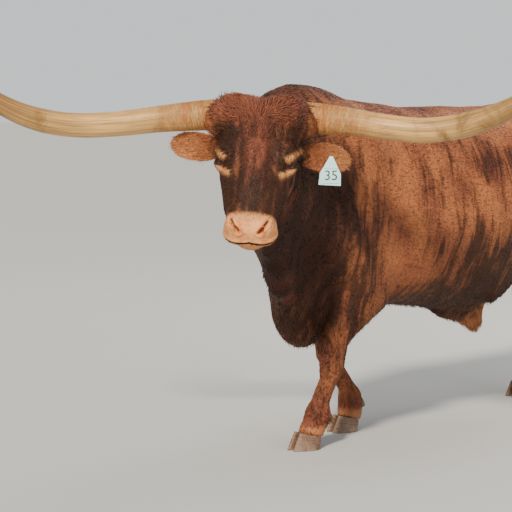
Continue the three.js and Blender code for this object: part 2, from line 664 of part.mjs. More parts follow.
// An ear: a leaf-shaped cup. The hollow looks forwards; the edge is thinner than the root.
function ear(flip) {
  const root = fromHead(flip * EAR.side, EAR.along, EAR.rise);
  const name = flip > 0 ? "left" : "right";
  const out = headDirection(flip * 0.92, EAR_DROP[name], EAR_BACK[name]);
  const front = headDirection(flip * 0.28, 0.42, 0.85).projectOnPlane(out).normalize();
  const wide = new THREE.Vector3().crossVectors(out, front).normalize();
  const [rows, columns] = [10, 6];
  const halfWidth = (t) => (t < 0.55
    ? lerp(26, EAR.halfWidth, Math.sin((Math.PI / 2) * (t / 0.55)))
    : lerp(9, EAR.halfWidth, Math.sqrt(1 - ((t - 0.55) / 0.45) ** 2.3)));
  const position = [];
  const place = (t, across, inner) => {
    const bend = (across / 2) * lerp(1.9, 0.7, t);
    const thick = lerp(10, 4, t) * (1 - 0.45 * across * across) / 2;
    const radius = halfWidth(t) / Math.sin(lerp(0.95, 0.35, t));
    const shell = radius + (inner ? -thick : thick);
    const p = root.clone().addScaledVector(out, EAR.length * t - 4 * Math.abs(across) * t)
      .addScaledVector(wide, shell * Math.sin(bend))
      .addScaledVector(front, radius * Math.cos(lerp(0.95, 0.35, t)) - shell * Math.cos(bend) + 6);
    position.push(...p.toArray());
  };
  for (const inner of [false, true])
    for (let i = 0; i <= rows; i++)
      for (let j = 0; j <= columns; j++)
        place(1 - (1 - i / rows) ** 1.7, (2 * j) / columns - 1, inner);
  const v = (side, i, j) => side * (rows + 1) * (columns + 1) + i * (columns + 1) + j;
  const faces = [];
  const quad = (a, b, c, d) => faces.push([a, b, c], [a, c, d]);
  for (let i = 0; i < rows; i++)
    for (let j = 0; j < columns; j++) {
      quad(v(0, i, j), v(0, i + 1, j), v(0, i + 1, j + 1), v(0, i, j + 1));
      quad(v(1, i, j), v(1, i, j + 1), v(1, i + 1, j + 1), v(1, i + 1, j));
    }
  for (let i = 0; i < rows; i++) {
    quad(v(0, i, 0), v(1, i, 0), v(1, i + 1, 0), v(0, i + 1, 0));
    quad(v(0, i, columns), v(0, i + 1, columns), v(1, i + 1, columns), v(1, i, columns));
  }
  for (let j = 0; j < columns; j++) {
    quad(v(0, 0, j), v(0, 0, j + 1), v(1, 0, j + 1), v(1, 0, j));
    quad(v(0, rows, j), v(1, rows, j), v(1, rows, j + 1), v(0, rows, j + 1));
  }
  const solid = solidOf(geometryOf({ position, faces }));
  return { solid, root, out, front, wide };
}

// The almond-shaped space between the lids, in front of an eyeball
function eyeOpening(centre, flip) {
  const look = headDirection(flip * EYE_LOOK.side, EYE_LOOK.along, EYE_LOOK.rise);
  const slit = headDirection(flip * EYE_SLIT.side, EYE_SLIT.along, EYE_SLIT.rise)
    .projectOnPlane(look).normalize();
  const almond = new THREE.SphereGeometry(1, 14, 8).scale(...EYE.opening);
  almond.applyMatrix4(new THREE.Matrix4().makeBasis(slit, look.clone().cross(slit), look));
  const front = centre.clone().addScaledVector(look, EYE.radius + 6);
  return solidOf(almond.translate(...front.toArray()));
}

// One claw of a cloven hoof: outer wall, flat sole and a gap between the two
function claw({ side, foot }, inner) {
  const step = inner ? -1 : 1;
  const gap = 5;
  const place = foot[0] + side * step * gap;
  const outline = new THREE.Shape();
  outline.moveTo(0, 44);
  outline.quadraticCurveTo(50, 40, 54, 0);
  outline.quadraticCurveTo(50, -52, 14, -84);
  outline.quadraticCurveTo(2, -84, 0, -60);
  outline.closePath();
  const geometry = new THREE.ExtrudeGeometry(outline, {
    depth: HOOF_HEIGHT, bevelEnabled: false, curveSegments: 6, steps: 2,
  });
  const { position } = geometry.attributes;
  for (let i = 0; i < position.count; i++) {
    const high = position.getZ(i) / HOOF_HEIGHT;
    const along = position.getY(i) * (1 - 0.2 * high) + 20 * high;
    position.setXYZ(i, position.getX(i) * (1 - 0.14 * high), along,
      high * (CORONET.high - CORONET.slope * along));
  }
  if (side * step < 0) geometry.scale(-1, 1, 1);
  geometry.translate(place, foot[1], 0);
  return solidOf(geometry);
}

// A small horny dewclaw behind the fetlock
function dewclaw({ side, fetlock }, inner) {
  const across = fetlock[0] + side * (inner ? -1 : 1) * 21;
  const curve = new THREE.LineCurve3(
    new THREE.Vector3(across, fetlock[1] + 34, fetlock[2] - 2),
    new THREE.Vector3(across, fetlock[1] + 60, fetlock[2] - 28),
  );
  return sweep(curve, (t) => [lerp(15, 8, t * t), lerp(17, 9, t * t)], 3, 9);
}

// Tail: a tapered dock that hangs behind the rump
const TAIL_POINTS = [[0, 1330, 1262], [0, 1385, 1215], [6, 1412, 1100], [14, 1430, 900],
  [22, 1440, 720], [26, 1442, 560]];
const tailCurve = new THREE.CatmullRomCurve3(TAIL_POINTS.map((p) => new THREE.Vector3(...p)));
const SWITCH = { length: 330, locks: 12, spread: 46, core: 20 };

// Tail switch: flat tapered locks that hang from the dock's end round a slim core
function tailSwitch() {
  const end = tailCurve.getPointAt(1);
  const coreCurve = new THREE.LineCurve3(end, end.clone().add(new THREE.Vector3(2, 4, -150)));
  let solid = sweep(coreCurve, (t) => [lerp(SWITCH.core, 9, t), lerp(SWITCH.core, 9, t)], 4, 10, facing);
  for (let i = 0; i < SWITCH.locks; i++) {
    const turn = i * 2.39996;
    const share = (i + 0.5) / SWITCH.locks;
    const length = SWITCH.length * lerp(0.62, 1, share) * (0.94 + 0.06 * Math.cos(5 * turn));
    const radial = new THREE.Vector3(Math.cos(turn), Math.sin(turn), 0);
    const start = end.clone().add(new THREE.Vector3(0, 0, -14 - 90 * share));
    const spread = SWITCH.spread * lerp(1, 0.35, share);
    const along = (out, down) => start.clone().addScaledVector(radial, out)
      .add(new THREE.Vector3(0, 0, -down));
    const curve = new THREE.CatmullRomCurve3([
      along(2, -16), along(spread * 0.6, length * 0.25), along(spread, length * 0.6),
      along(spread * 0.55, length),
    ]);
    const lock = sweep(curve, (t) => {
      const taper = 1 - t ** 2.2;
      return [lerp(2, 17, taper), lerp(1.2, 6, taper)];
    }, 4, 4, radial);
    solid = solid.add(lock);
  }
  return largest(solid);
}

// The ear tag: a plain panel with sloping shoulders, hung by a stud through the left ear
function tagPieces({ root, out, front }) {
  const hole = root.clone().addScaledVector(out, EAR.length * 0.67).addScaledVector(front, 2);
  const across = sideways.clone();
  const face = facing.clone().addScaledVector(up, 0.12).normalize();
  const high = new THREE.Vector3().crossVectors(face, across).normalize();
  const basis = new THREE.Matrix4().makeBasis(across, high, face.clone());
  const outline = new THREE.Shape();
  outline.moveTo(-TAG.neck / 2, 8);
  outline.lineTo(TAG.neck / 2, 8);
  outline.lineTo(TAG.width / 2, -TAG.shoulder);
  outline.lineTo(TAG.width / 2 + 2, 8 - TAG.height);
  outline.lineTo(-TAG.width / 2 - 2, 8 - TAG.height);
  outline.lineTo(-TAG.width / 2, -TAG.shoulder);
  outline.closePath();
  const panel = new THREE.ExtrudeGeometry(outline, { depth: TAG.thick, bevelEnabled: false });
  const inFront = hole.clone().addScaledVector(face, 16);
  panel.applyMatrix4(basis.clone().setPosition(inFront));
  const stud = new THREE.LatheGeometry(
    [[0, -14], [13, -14], [13, -10.5], [3, -10], [3, 16 - GAP], [0, 16 - GAP]]
      .map(([r, h]) => new THREE.Vector2(r, h)), 14);
  stud.rotateX(Math.PI / 2).applyMatrix4(basis.clone().setPosition(hole));
  return {
    panel: solidOf(panel),
    stud: solidOf(stud),
  };
}

// Flesh in two regions, each thinned to its own share of triangles
const TRIANGLES = { body: 5000, head: 3100 };
const bodyNet = polygonise(skin, [-480, -760, -20], [520, 1480, 1480], 17);
const bodySolid = largest(solidOf(geometryOf(thin(bodyNet, TRIANGLES.body))));
const headCorner = { low: [-60, -1010, 740], high: [640, -380, 1420] };
const headNet = polygonise(skin, headCorner.low, headCorner.high, 5.5);
const headSolid = largest(solidOf(geometryOf(thin(headNet, TRIANGLES.head))));

// The plane between head and neck, behind the jaw and under the poll
const headCut = { at: fromHead(0, 130, -212), way: headDirection(0, 0.34, 0.94) };
const far = 5000;
const aheadOfCut = block(headCut.at.clone().addScaledVector(headCut.way, GAP / 2), headCut.way, far,
  far, far);
const behindCut = block(headCut.at.clone().addScaledVector(headCut.way, -GAP / 2),
  headCut.way.clone().negate(), far, far, far);
const earPieces = { left: ear(1), right: ear(-1) };
const hornSolids = { left: horn("left"), right: horn("right") };

export const materials = {};
function material(name, color, roughness, metalness = 0) {
  materials[name] = new THREE.MeshStandardMaterial({ name, color, roughness, metalness });
  return materials[name];
}
const hide = material("hide", 0x7a3a1f, 0.75);
const darkHide = material("dark_hide", 0x4a2617, 0.75);
const hornFinish = material("horn", 0xb08a52, 0.4);
const hoofFinish = material("hoof", 0x4b3a33, 0.5);
const eyeFinish = material("eye", 0x140c08, 0.1);
const tagFinish = material("tag", 0xcfeef0, 0.45);
const studFinish = material("stud", 0x8a9a9a, 0.5);

const longhorn = new THREE.Group();
const steer = new THREE.Group();
longhorn.add(steer);
steer.position.set(-ORIGIN.x, -ORIGIN.y, 0);
function piece(name, solid, finish) {
  const mesh = new THREE.Mesh(geometryFrom(tidied(largest(solid))), finish);
  mesh.name = name;
  steer.add(mesh);
}

// Head with the seats of the eyes, horns and ears cut out
let head = headSolid.intersect(aheadOfCut);
for (const flip of [1, -1]) {
  const centre = fromHead(flip * EYE.side, EYE.along, EYE.rise);
  const ball = new THREE.IcosahedronGeometry(EYE.radius, 2).translate(...centre.toArray());
  const socket = new THREE.IcosahedronGeometry(EYE.radius + 2 * GAP, 2).translate(...centre.toArray());
  head = head.subtract(solidOf(socket)).subtract(eyeOpening(centre, flip));
  piece(flip > 0 ? "eye_left" : "eye_right", solidOf(ball), eyeFinish);
}
for (const name of ["left", "right"]) {
  head = head.subtract(grown(hornSolids[name], GAP));
  piece("horn_" + name, hornSolids[name], hornFinish);
}
head = largest(head);
piece("head", head, darkHide);
const headShell = grown(head, GAP);
const tag = tagPieces(earPieces.left);
for (const name of ["left", "right"]) {
  let cup = earPieces[name].solid.subtract(headShell);
  if (name === "left") cup = cup.subtract(grown(tag.stud, GAP));
  piece("ear_" + name, cup, hide);
}
piece("ear_tag", tag.panel, tagFinish);
piece("ear_tag_stud", tag.stud, studFinish);

// Trunk and neck
let trunkSolid = bodySolid.intersect(behindCut);
const neckCut = { at: new THREE.Vector3(40, -300, 1000), way: new THREE.Vector3(0.45, -0.88, 0.12) };
const neckBlock = block(neckCut.at, neckCut.way, far, far, far);
const neckBack = block(neckCut.at.clone().addScaledVector(neckCut.way.clone().normalize(), -GAP),
  neckCut.way, far, far, far);
piece("neck", trunkSolid.intersect(neckBlock), hide);
trunkSolid = trunkSolid.subtract(neckBack);

// Legs: an upper and a lower length each, and the hooves below them
for (const [name, leg] of Object.entries(LEGS)) {
  const { side, fore, knee, foot } = leg;
  const room = fore
    ? wedge(side, [92, 420, -330, 110], 607, [0.3, 0], [20 * side, 420, -500, 330])
    : wedge(side, [100, 450, 800, 1480], 926, [0, 0.9], [20, 450, 800, 1500]);
  const whole = trunkSolid.intersect(room);
  trunkSolid = trunkSolid.subtract(grown(room, 2 * GAP));
  const bend = new THREE.Vector3(0, fore ? 0.12 : -0.2, -1).normalize();
  const joint = new THREE.Vector3(...knee);
  const lowerRoom = block(joint, bend, 400, 500, 900);
  const lowerSpace = block(joint.clone().addScaledVector(bend, -GAP), bend, 400, 500, 900);
  const coronet = new THREE.Vector3(foot[0], foot[1], CORONET.high + GAP);
  let lower = whole.intersect(lowerRoom)
    .subtract(block(coronet, new THREE.Vector3(0, -CORONET.slope, -1), 400, 400, 300));
  for (const [end, inner] of [["outer", false], ["inner", true]]) {
    const spur = dewclaw(leg, inner);
    lower = lower.subtract(grown(spur, 2 * GAP));
    piece(`${name}_claw_${end}`, claw(leg, inner), hoofFinish);
    piece(`${name}_dewclaw_${end}`, spur, hoofFinish);
  }
  piece(name + "_upper", whole.subtract(lowerSpace), hide);
  piece(name + "_lower", lower, hide);
}
piece("torso", trunkSolid, hide);

// Tail
const dock = sweep(tailCurve, (t) => [lerp(40, 15, t ** 0.6), lerp(42, 15, t ** 0.6)], 18, 12, sideways);
const brush = tailSwitch();
piece("tail", dock.subtract(grown(largest(trunkSolid), GAP)).subtract(grown(brush, GAP)), hide);
piece("tail_switch", brush, darkHide);

export default longhorn;
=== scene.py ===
"""A life-size Texas longhorn steer: one skin, its coat in tufts, eyes, horns, hooves and ear tag.

Metres, +Z up. The steer faces -Y, its left side is +X, and the frame's origin is the middle of
the floor under it.
"""

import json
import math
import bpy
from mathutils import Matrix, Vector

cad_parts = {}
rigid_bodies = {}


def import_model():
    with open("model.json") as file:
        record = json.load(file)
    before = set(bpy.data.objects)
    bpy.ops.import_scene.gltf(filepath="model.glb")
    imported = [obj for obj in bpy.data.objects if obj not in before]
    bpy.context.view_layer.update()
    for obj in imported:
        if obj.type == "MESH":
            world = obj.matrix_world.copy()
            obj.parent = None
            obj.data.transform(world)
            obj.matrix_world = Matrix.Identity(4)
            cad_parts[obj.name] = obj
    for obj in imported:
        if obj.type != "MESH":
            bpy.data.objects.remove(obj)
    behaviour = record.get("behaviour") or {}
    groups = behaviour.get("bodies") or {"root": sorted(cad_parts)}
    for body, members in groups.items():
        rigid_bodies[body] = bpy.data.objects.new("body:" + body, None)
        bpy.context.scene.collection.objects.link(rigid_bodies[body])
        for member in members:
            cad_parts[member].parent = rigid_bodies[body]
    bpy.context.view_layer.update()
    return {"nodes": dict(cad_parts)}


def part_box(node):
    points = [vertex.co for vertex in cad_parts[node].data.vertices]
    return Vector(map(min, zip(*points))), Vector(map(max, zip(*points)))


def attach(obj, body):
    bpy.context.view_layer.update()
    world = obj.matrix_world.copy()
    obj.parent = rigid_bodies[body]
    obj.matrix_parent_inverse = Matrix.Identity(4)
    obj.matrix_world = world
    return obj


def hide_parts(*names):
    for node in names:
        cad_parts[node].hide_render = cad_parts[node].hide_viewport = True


bl_info = {
    "name": "Longhorn Steer",
    "version": (1, 0, 0),
    "blender": (4, 5, 0),
    "location": "View3D > Sidebar > Longhorn",
    "description": "Skin, coat, horns, eyes, hooves and ear tag of a walking longhorn steer",
    "category": "Object",
}

import bpy
import numpy as np
from bpy.props import FloatProperty, FloatVectorProperty, IntProperty, PointerProperty, StringProperty
from mathutils import Matrix, Vector

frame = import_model()
SEED = 41
# Each number of tufts is divided by this before the tufts are grown
THINNING = 1
SKIN_CELL = 0.0052
BODY_FACES_KEPT = 0.12
HEAD_FACES_KEPT = 0.6
EAR_CELL = 0.0026
CLAW_CELL = 0.0024
DEWCLAW_CELL = 0.0016
TUFTS_IN_PIECE = 19000
# Each tuft's patch of the coat's UV map is this long and wide
UV_PATCH = 0.003
HORN_RINGS = 190
HORN_SIDES = 44
# The horn's grain is read as on a round bar of this radius, so that its pattern keeps one width
GRAIN_RADIUS = 0.045
LASHES = 34
FRINGE_TUFTS = 1600

# The head's frame, as in the solids: side to the left, along from poll to muzzle, rise out of the brow
ORIGIN = Vector((0.4111, -0.0431, 0.0))
POLL = Vector((0.338, -0.672, 1.352)) - ORIGIN
HEAD_YAW = math.radians(43)
HEAD_TILT = math.radians(28)
HEAD_ROLL = math.radians(-2.8)
EYE_PLACE = (0.124, 0.236, -0.033)
EYE_RADIUS = 0.0225
EYE_LOOK = (0.78, 0.22, 0.58)
EYE_SLIT = (-0.50, 0.74, 0.42)
# The lids' opening on the ball, in radians from its middle: lengthwise, up and down
LID_LONG = 1.12
LID_HIGH = 0.50
LID_LOW = 0.42
EAR_PLACE = (0.120, 0.158, -0.096)
EAR_LENGTH = 0.214
EAR_OUT = {"left": (0.92, -0.07, -0.36), "right": (-0.92, -0.14, -0.18)}
# The mouth line's rise at the corner of the mouth, how much it climbs, and where along the head
MOUTH_CORNER = -0.114
MOUTH_CLIMB = 0.030
MOUTH_ALONG = (0.400, 0.506)
# Ends of the nostril's slit on the nose pad: distance to the side and down the pad
NOSTRIL_INNER = (0.035, 0.423, 0)
NOSTRIL_OUTER = (0.064, 0.381, 0)

# Ear tag: how far out on the ear its hole is, and the number's place on its face
TAG_SHARE = 0.67
NUMBER_DROP = 0.062
NUMBER_FRONT = 0.0182
NUMBER_SIZE = 0.050
LINE_LEVELS = (0.027, -0.027)
LINE_SIZE = (0.056, 0.0009, 0.0006)

# Width of a tuft at each point of its length, as a share of its own width
TAPER = {3: (0.7, 1.0, 0.0), 4: (0.75, 1.0, 0.8, 0.0), 5: (0.75, 1.0, 0.8, 0.45, 0.0)}
LOCK_TAPER = (0.55, 1, 1.05, 1, 0.92, 0.8, 0.62, 0.4, 0)

# Horn paths out of the poll: distance to the side, height above the poll, distance ahead
HORN_PATH = {
    "left": [
        (0.118, -0.058, -0.046), (0.206, -0.060, -0.044), (0.328, -0.064, -0.034),
        (0.445, -0.076, -0.023), (0.570, -0.080, 0.005), (0.709, -0.057, 0.041),
        (0.846, -0.002, 0.083), (0.985, 0.090, 0.122), (1.085, 0.195, 0.140),
        (1.150, 0.310, 0.128), (1.180, 0.400, 0.096)],
    "right": [
        (0.118, -0.060, -0.046), (0.191, -0.065, -0.044), (0.366, -0.088, -0.030),
        (0.521, -0.113, -0.006), (0.674, -0.124, 0.032), (0.798, -0.109, 0.068),
        (0.924, -0.061, 0.104), (1.040, 0.020, 0.136), (1.122, 0.132, 0.142),
        (1.172, 0.256, 0.120), (1.196, 0.350, 0.088)],
}
# Share of the horn's length, and radius there
HORN_RADII = [
    (0.0, 0.057), (0.07, 0.055), (0.20, 0.046), (0.40, 0.044), (0.50, 0.043), (0.64, 0.034),
    (0.80, 0.024), (0.93, 0.013), (1.0, 0.004)]

FACING = Vector((math.sin(HEAD_YAW), -math.cos(HEAD_YAW), 0))
ROLLED = Matrix.Rotation(HEAD_ROLL, 3, FACING)
SIDEWAYS = ROLLED @ Vector((0, 0, 1)).cross(FACING)
HEAD_UP = ROLLED @ Vector((0, 0, 1))
NOSE = FACING * math.sin(HEAD_TILT) - HEAD_UP * math.cos(HEAD_TILT)
BROW = FACING * math.cos(HEAD_TILT) + HEAD_UP * math.sin(HEAD_TILT)
HEAD_AXES = np.array([SIDEWAYS, NOSE, BROW])

LEGS = ("fore_left", "fore_right", "hind_left", "hind_right")
FLESH = ["torso", "neck", "head", "tail"]
FLESH += [leg + part for leg in LEGS for part in ("_upper", "_lower")]
EARS = ["ear_left", "ear_right"]

# The photograph's camera: heading of the body across the picture, distance and height
PICTURE = 512
VIEW_TURN = math.radians(40)
VIEW_DISTANCE = 6.6
VIEW_SIDE = -0.319
VIEW_HEIGHT = 1.35
FOCAL_PIXELS = 1657
HORIZON_ROW = 100
SENSOR = 36.0


# Small tools

def from_head(side, along, rise):
    """A point given in the head's frame."""
    return POLL + SIDEWAYS * side + NOSE * along + BROW * rise


def head_direction(side, along, rise):
    """A direction given in the head's frame."""
    return (from_head(side, along, rise) - POLL).normalized()


def to_head(points):
    """Side, along and rise of each point, as three arrays."""
    return ((points - np.array(POLL)) @ HEAD_AXES.T).T


def on_body(x, y, z):
    """A place given from the steer's own middle line and shoulders, as in the solids."""
    return x - ORIGIN.x, y - ORIGIN.y, z


def step(low, high, value):
    """A smooth change from 0 at low to 1 at high, which may be the smaller number."""
    t = np.clip((value - low) / (high - low), 0, 1)
    return t * t * (3 - 2 * t)


def unit(vectors):
    """Rows scaled to length 1."""
    length = np.linalg.norm(vectors, axis=-1, keepdims=True)
    return vectors / np.maximum(length, 1e-9)


def use(*things):
    """Make these objects the only selected ones, and the first of them active."""
    for thing in bpy.context.selected_objects:
        thing.select_set(False)
    for thing in things:
        thing.hide_set(False)
        thing.select_set(True)
    if things:
        bpy.context.view_layer.objects.active = things[0]


def joined(*things):
    """Join mesh objects into the first of them."""
    use(*things)
    bpy.ops.object.join()
    return things[0]


def primitive(add, name, **values):
    """Add a primitive with nothing else selected, and name it."""
    use()
    add(**values)
    made = bpy.context.view_layer.objects.active
    made.name = name
    return made


def modify(thing, kind, **settings):
    """Add a modifier, set it and apply it."""
    use(thing)
    modifier = thing.modifiers.new(kind.lower(), kind)
    for name, value in settings.items():
        setattr(modifier, name, value)
    bpy.ops.object.modifier_apply(modifier=modifier.name)


def copied(name, nodes):
    """One new object from copies of solids, with their loose triangles merged."""
    copies = []
    for node in nodes:
        source = frame["nodes"][node]
        copy = source.copy()
        copy.data = source.data.copy()
        copy.parent = None
        copy.matrix_world = Matrix.Identity(4)
        bpy.context.scene.collection.objects.link(copy)
        copies.append(copy)
    made = joined(*copies) if len(copies) > 1 else copies[0]
    made.name = name
    made.data.name = name
    for key in list(made.keys()):
        del made[key]
    made.data.materials.clear()
    edit(made, None, (bpy.ops.mesh.remove_doubles, {"threshold": 0.00002}))
    return made


def read(items, field, width, kind=np.float32):
    """One field of every item in one of a mesh's lists, as rows."""
    values = np.empty(len(items) * width, kind)
    items.foreach_get(field, values)
    return values.reshape(-1, width)


def flat(values, kind=np.float32):
    """An array as the single run of numbers that a mesh takes."""
    return np.ascontiguousarray(values, kind).ravel()


def places(thing):
    """The place of each vertex."""
    return read(thing.data.vertices, "co", 3).astype(float)


def set_places(thing, points):
    """Move each vertex to its new place."""
    thing.data.vertices.foreach_set("co", flat(points))
    thing.data.update()


def normals_of(thing):
    """The outward direction at each vertex."""
    return read(thing.data.vertices, "normal", 3).astype(float)


def relax(thing, rounds, share=1.0, pulls=(0.5, -0.52)):
    """Even out a mesh, each vertex by its own share; a second, outward pull keeps its size."""
    points = places(thing)
    share = np.broadcast_to(share, len(points))[:, None]
    edges = read(thing.data.edges, "vertices", 2, np.int32)
    ends = np.concatenate([edges[:, 0], edges[:, 1]])
    others = np.concatenate([edges[:, 1], edges[:, 0]])
    count = np.maximum(np.bincount(ends, minlength=len(points)), 1)[:, None]
    for _ in range(rounds):
        for pull in pulls:
            total = np.stack([np.bincount(ends, points[others, k], len(points)) for k in range(3)], 1)
            points += pull * share * (total / count - points)
    set_places(thing, points)


def select_vertices(thing, mask):
    """Select vertices of the active mesh in object mode, ready for edit mode."""
    mesh = thing.data
    mesh.polygons.foreach_set("select", np.zeros(len(mesh.polygons), bool))
    mesh.edges.foreach_set("select", np.zeros(len(mesh.edges), bool))
    mesh.vertices.foreach_set("select", mask)
    bpy.context.tool_settings.mesh_select_mode = (True, False, False)


def edit(thing, mask, *steps):
    """Run edit-mode steps on the vertices in a mask, or on all where it is None."""
    use(thing)
    if mask is not None:
        select_vertices(thing, mask)
    bpy.ops.object.mode_set(mode="EDIT")
    if mask is None:
        bpy.ops.mesh.select_all(action="SELECT")
    for operation, values in steps:
        operation(**values)
    bpy.ops.object.mode_set(mode="OBJECT")


def placed(name, data):
    """A new object in the scene for a mesh, light or camera."""
    made = bpy.data.objects.new(name, data)
    bpy.context.scene.collection.objects.link(made)
    return made


def closed_mesh(name, points, faces, open_ends=False):
    """A smooth object from points and faces at their places, with a cap on each open end."""
    mesh = bpy.data.meshes.new(name)
    mesh.from_pydata([tuple(point) for point in points], [], [tuple(face) for face in faces])
    mesh.update()
    made = placed(name, mesh)
    if open_ends:
        edit(made, np.zeros(len(points), bool), (bpy.ops.mesh.select_non_manifold, {}),
             (bpy.ops.mesh.edge_face_add, {}))
    edit(made, None, (bpy.ops.mesh.normals_make_consistent, {"inside": False}))
    mesh.shade_smooth()
    return made


def finish_piece(thing, material, slot_name, *nodes):
    """Give a piece its material and its body, and let it stand for its solids."""
    thing.data.materials.append(material)
    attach(thing, "root")
    if nodes:
        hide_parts(*nodes)


# Markings: how dark, red, pale and bare each place of the skin is, with painted shade in the dark share

def field_noise(points, size, seed):
    """Smooth noise from -1 to 1, as a few waves in random directions."""
    draw = np.random.default_rng(seed)
    total = np.zeros(len(points))
    for _ in range(7):
        way = unit(draw.normal(size=3)) * draw.uniform(0.7, 1.5) * 2 * math.pi / size
        total += np.sin(points @ way + draw.uniform(0, 2 * math.pi))
    return np.clip(total / 3.2, -1, 1)


def bump_at(points, centre, radius):
    """1 at a centre and falling to 0 over a radius, which may differ by axis."""
    away = (points - np.array(centre)) / np.array(radius)
    return np.exp(-(away ** 2).sum(1) * 1.5)


def is_head(side, along, rise):
    """1 on the head with its ears, 0 on the neck and the rest of the body."""
    head = step(-0.30, -0.20, rise) * step(-0.12, -0.04, along) * step(0.64, 0.62, along)
    return head * step(0.36, 0.33, np.abs(side))


def is_ear(side, along, rise):
    """1 on both ears."""
    return is_head(side, along, rise) * step(0.148, 0.158, np.abs(side)) * step(0.32, 0.28, along)


def body_marks(points, rough):
    """Dark and red shares on the neck, trunk, legs and tail, with a painted shadow on the neck behind the
    left ear.
    """
    level = points[:, 2]
    back = points[:, 1] + ORIGIN.y
    wide = np.abs(points[:, 0] + ORIGIN.x)
    neck = step(-0.18, -0.42, back)
    # Painted shadow: the neck behind the left ear is darkened as if shaded by the head, horn and ear
    painted_nape_shadow = bump_at(points, from_head(0.22, 0.20, -0.30), (0.30, 0.30, 0.24))
    throat = neck * step(1.20, 0.86, level + 0.06 * rough)
    belly = step(0.70, 0.52, level + 0.05 * rough) * step(-0.05, 0.25, back) * step(1.25, 1.05, back)
    flank = bump_at(points, on_body(0.33, 0.62, 0.72), (0.5, 0.34, 0.16))
    shoulder = bump_at(points, on_body(0.27, -0.22, 0.86), (0.25, 0.26, 0.36))
    light_patch = bump_at(points, on_body(0.28, 0.16, 0.72), (0.2, 0.14, 0.12))
    hump = bump_at(points, on_body(0, -0.24, 1.42), (0.16, 0.30, 0.14))
    spine = step(1.22, 1.30, level) * step(0.16, 0.06, wide)
    foreleg = step(0.85, 0.62, level) * step(0.10, -0.05, back)
    legs = step(0.46, 0.34, level)
    dark = 0.34 + 0.28 * neck + 0.50 * painted_nape_shadow + 0.12 * throat + 0.42 * belly + 0.40 * flank
    dark = dark + 0.16 * shoulder + 0.24 * foreleg + 0.30 * hump + 0.08 * rough
    dark = dark * (1 - 0.8 * light_patch) * (1 - legs) + legs * 0.52
    red = np.clip(0.40 + 0.35 * rough + 0.25 * neck + 0.50 * legs + 0.2 * spine + 0.3 * hump, 0, 1)
    return dark, red


def face_marks(side, along, rise, rough):
    """Dark and red shares on the head: a red forehead and crown on a dark face."""
    forehead = np.exp(-((side - 0.012 * rough) / 0.072) ** 2) * step(0.50, 0.10, along + 0.02 * rough)
    crown = step(0.15, 0.03, along + 0.015 * rough) * (0.55 + 0.45 * step(0.03, 0.085, np.abs(side)))
    streak = field_noise(np.stack([side * 5, along * 0.9, rise], 1), 0.13, 31)
    dark = 0.84 - 0.27 * forehead - 0.62 * crown + 0.05 * rough + 0.20 * streak
    return dark, np.clip(0.5 + 0.6 * forehead + 0.5 * crown, 0, 1)


def eye_marks(across, along, rise):
    """Pale hair above and below each eye, and the dark lids and corners between them."""
    down = math.cos(HEAD_TILT) * along - math.sin(HEAD_TILT) * rise
    seen = np.stack([across, down, np.zeros(len(down))], 1)
    upper = distance_to_line(seen, (0.113, 0.2035, 0), (0.150, 0.180, 0))
    lower = distance_to_line(seen, (0.094, 0.2580, 0), (0.134, 0.243, 0))
    corner = distance_to_line(seen, (0.106, 0.2260, 0), (0.148, 0.217, 0))
    pale = 0.85 * np.exp(-(upper / 0.0090) ** 2) + 0.95 * np.exp(-(lower / 0.0095) ** 2)
    return np.clip(pale, 0, 1), np.exp(-(corner / 0.0080) ** 4)


def markings(points):
    """Columns: dark share with its painted shade, red share, pale hair share, bare muzzle share."""
    side, along, rise = to_head(points)
    across = np.abs(side)
    level = points[:, 2]
    rough = field_noise(points, 0.16, 3)
    head = is_head(side, along, rise)
    ear = is_ear(side, along, rise)
    dark, red = body_marks(points, rough)
    face_dark, face_red = face_marks(side, along, rise, rough)
    dark = dark + head * (face_dark - dark)
    red = red + head * (face_red - red)
    dark = dark * (1 - ear) + ear * (0.04 + 0.50 * step(0.215, 0.165, across))
    red = red * (1 - ear) + 0.30 * ear
    front = head * step(-0.10, -0.07, rise) * (1 - ear)
    pale, lids = eye_marks(across, along, rise)
    lids = lids * front
    pale = pale * front * (1 - lids) + ear * 0.42 * step(0.19, 0.26, across)
    edge = along + 0.10 * (rise + 0.05) + 0.004 * rough
    muzzle = step(0.428, 0.452, edge) * step(-0.19, -0.16, rise)
    coronet = step(0.10, 0.075, level)
    sheath = bump_at(points, on_body(0, 0.812, 0.41), (0.10, 0.12, 0.07))
    for share in (muzzle * head, 0.45 * sheath, 0.35 * coronet):
        pale = np.maximum(pale, share)
    dark = np.clip(dark * (1 - sheath) * (1 - 0.6 * coronet), 0, 1)
    bare = head * step(0.452, 0.478, edge) * step(0.078, 0.066, across + 0.2 * (rise + 0.05).clip(-1, 0))
    bare *= step(-0.105, -0.092, rise)
    # Painted shade: the mouth line and the nostril slits are darkened where shade falls in them
    under = rise - mouth_level(along)
    line = step(-0.0085, -0.0055, under) * step(0.0030, 0.0010, under) * step(0.39, 0.42, along)
    nostril = np.exp(-(nostril_distance(across, along, rise) / 0.0044) ** 2)
    painted_mouth_and_nostril_shade = np.clip(line + nostril, 0, 1) * head
    dark = np.maximum(dark, np.maximum(painted_mouth_and_nostril_shade, lids))
    return np.stack([dark, red, pale * (1 - painted_mouth_and_nostril_shade), bare * (1 - painted_mouth_and_nostril_shade)], 1)


def store(thing, name, kind, field, values):
    """Keep values at the vertices as an attribute that the materials read."""
    layer = thing.data.attributes.new(name, kind, "POINT")
    layer.data.foreach_set(field, flat(values))


# Sizes and colours that a user would change

def distance(name, description, default, highest):
    """A length in metres that the user may set."""
    return FloatProperty(name=name, description=description, default=default, min=0, max=highest,
                         unit="LENGTH")


def amount(name, description, default, highest):
    """A number of tufts that the user may set."""
    return IntProperty(name=name, description=description, default=default, min=20, max=highest)


def swatch(name, description, default):
    """A colour that the user may set."""
    return FloatVectorProperty(name=name, description=description, default=default, size=3, min=0,
                               max=1, subtype="COLOR")


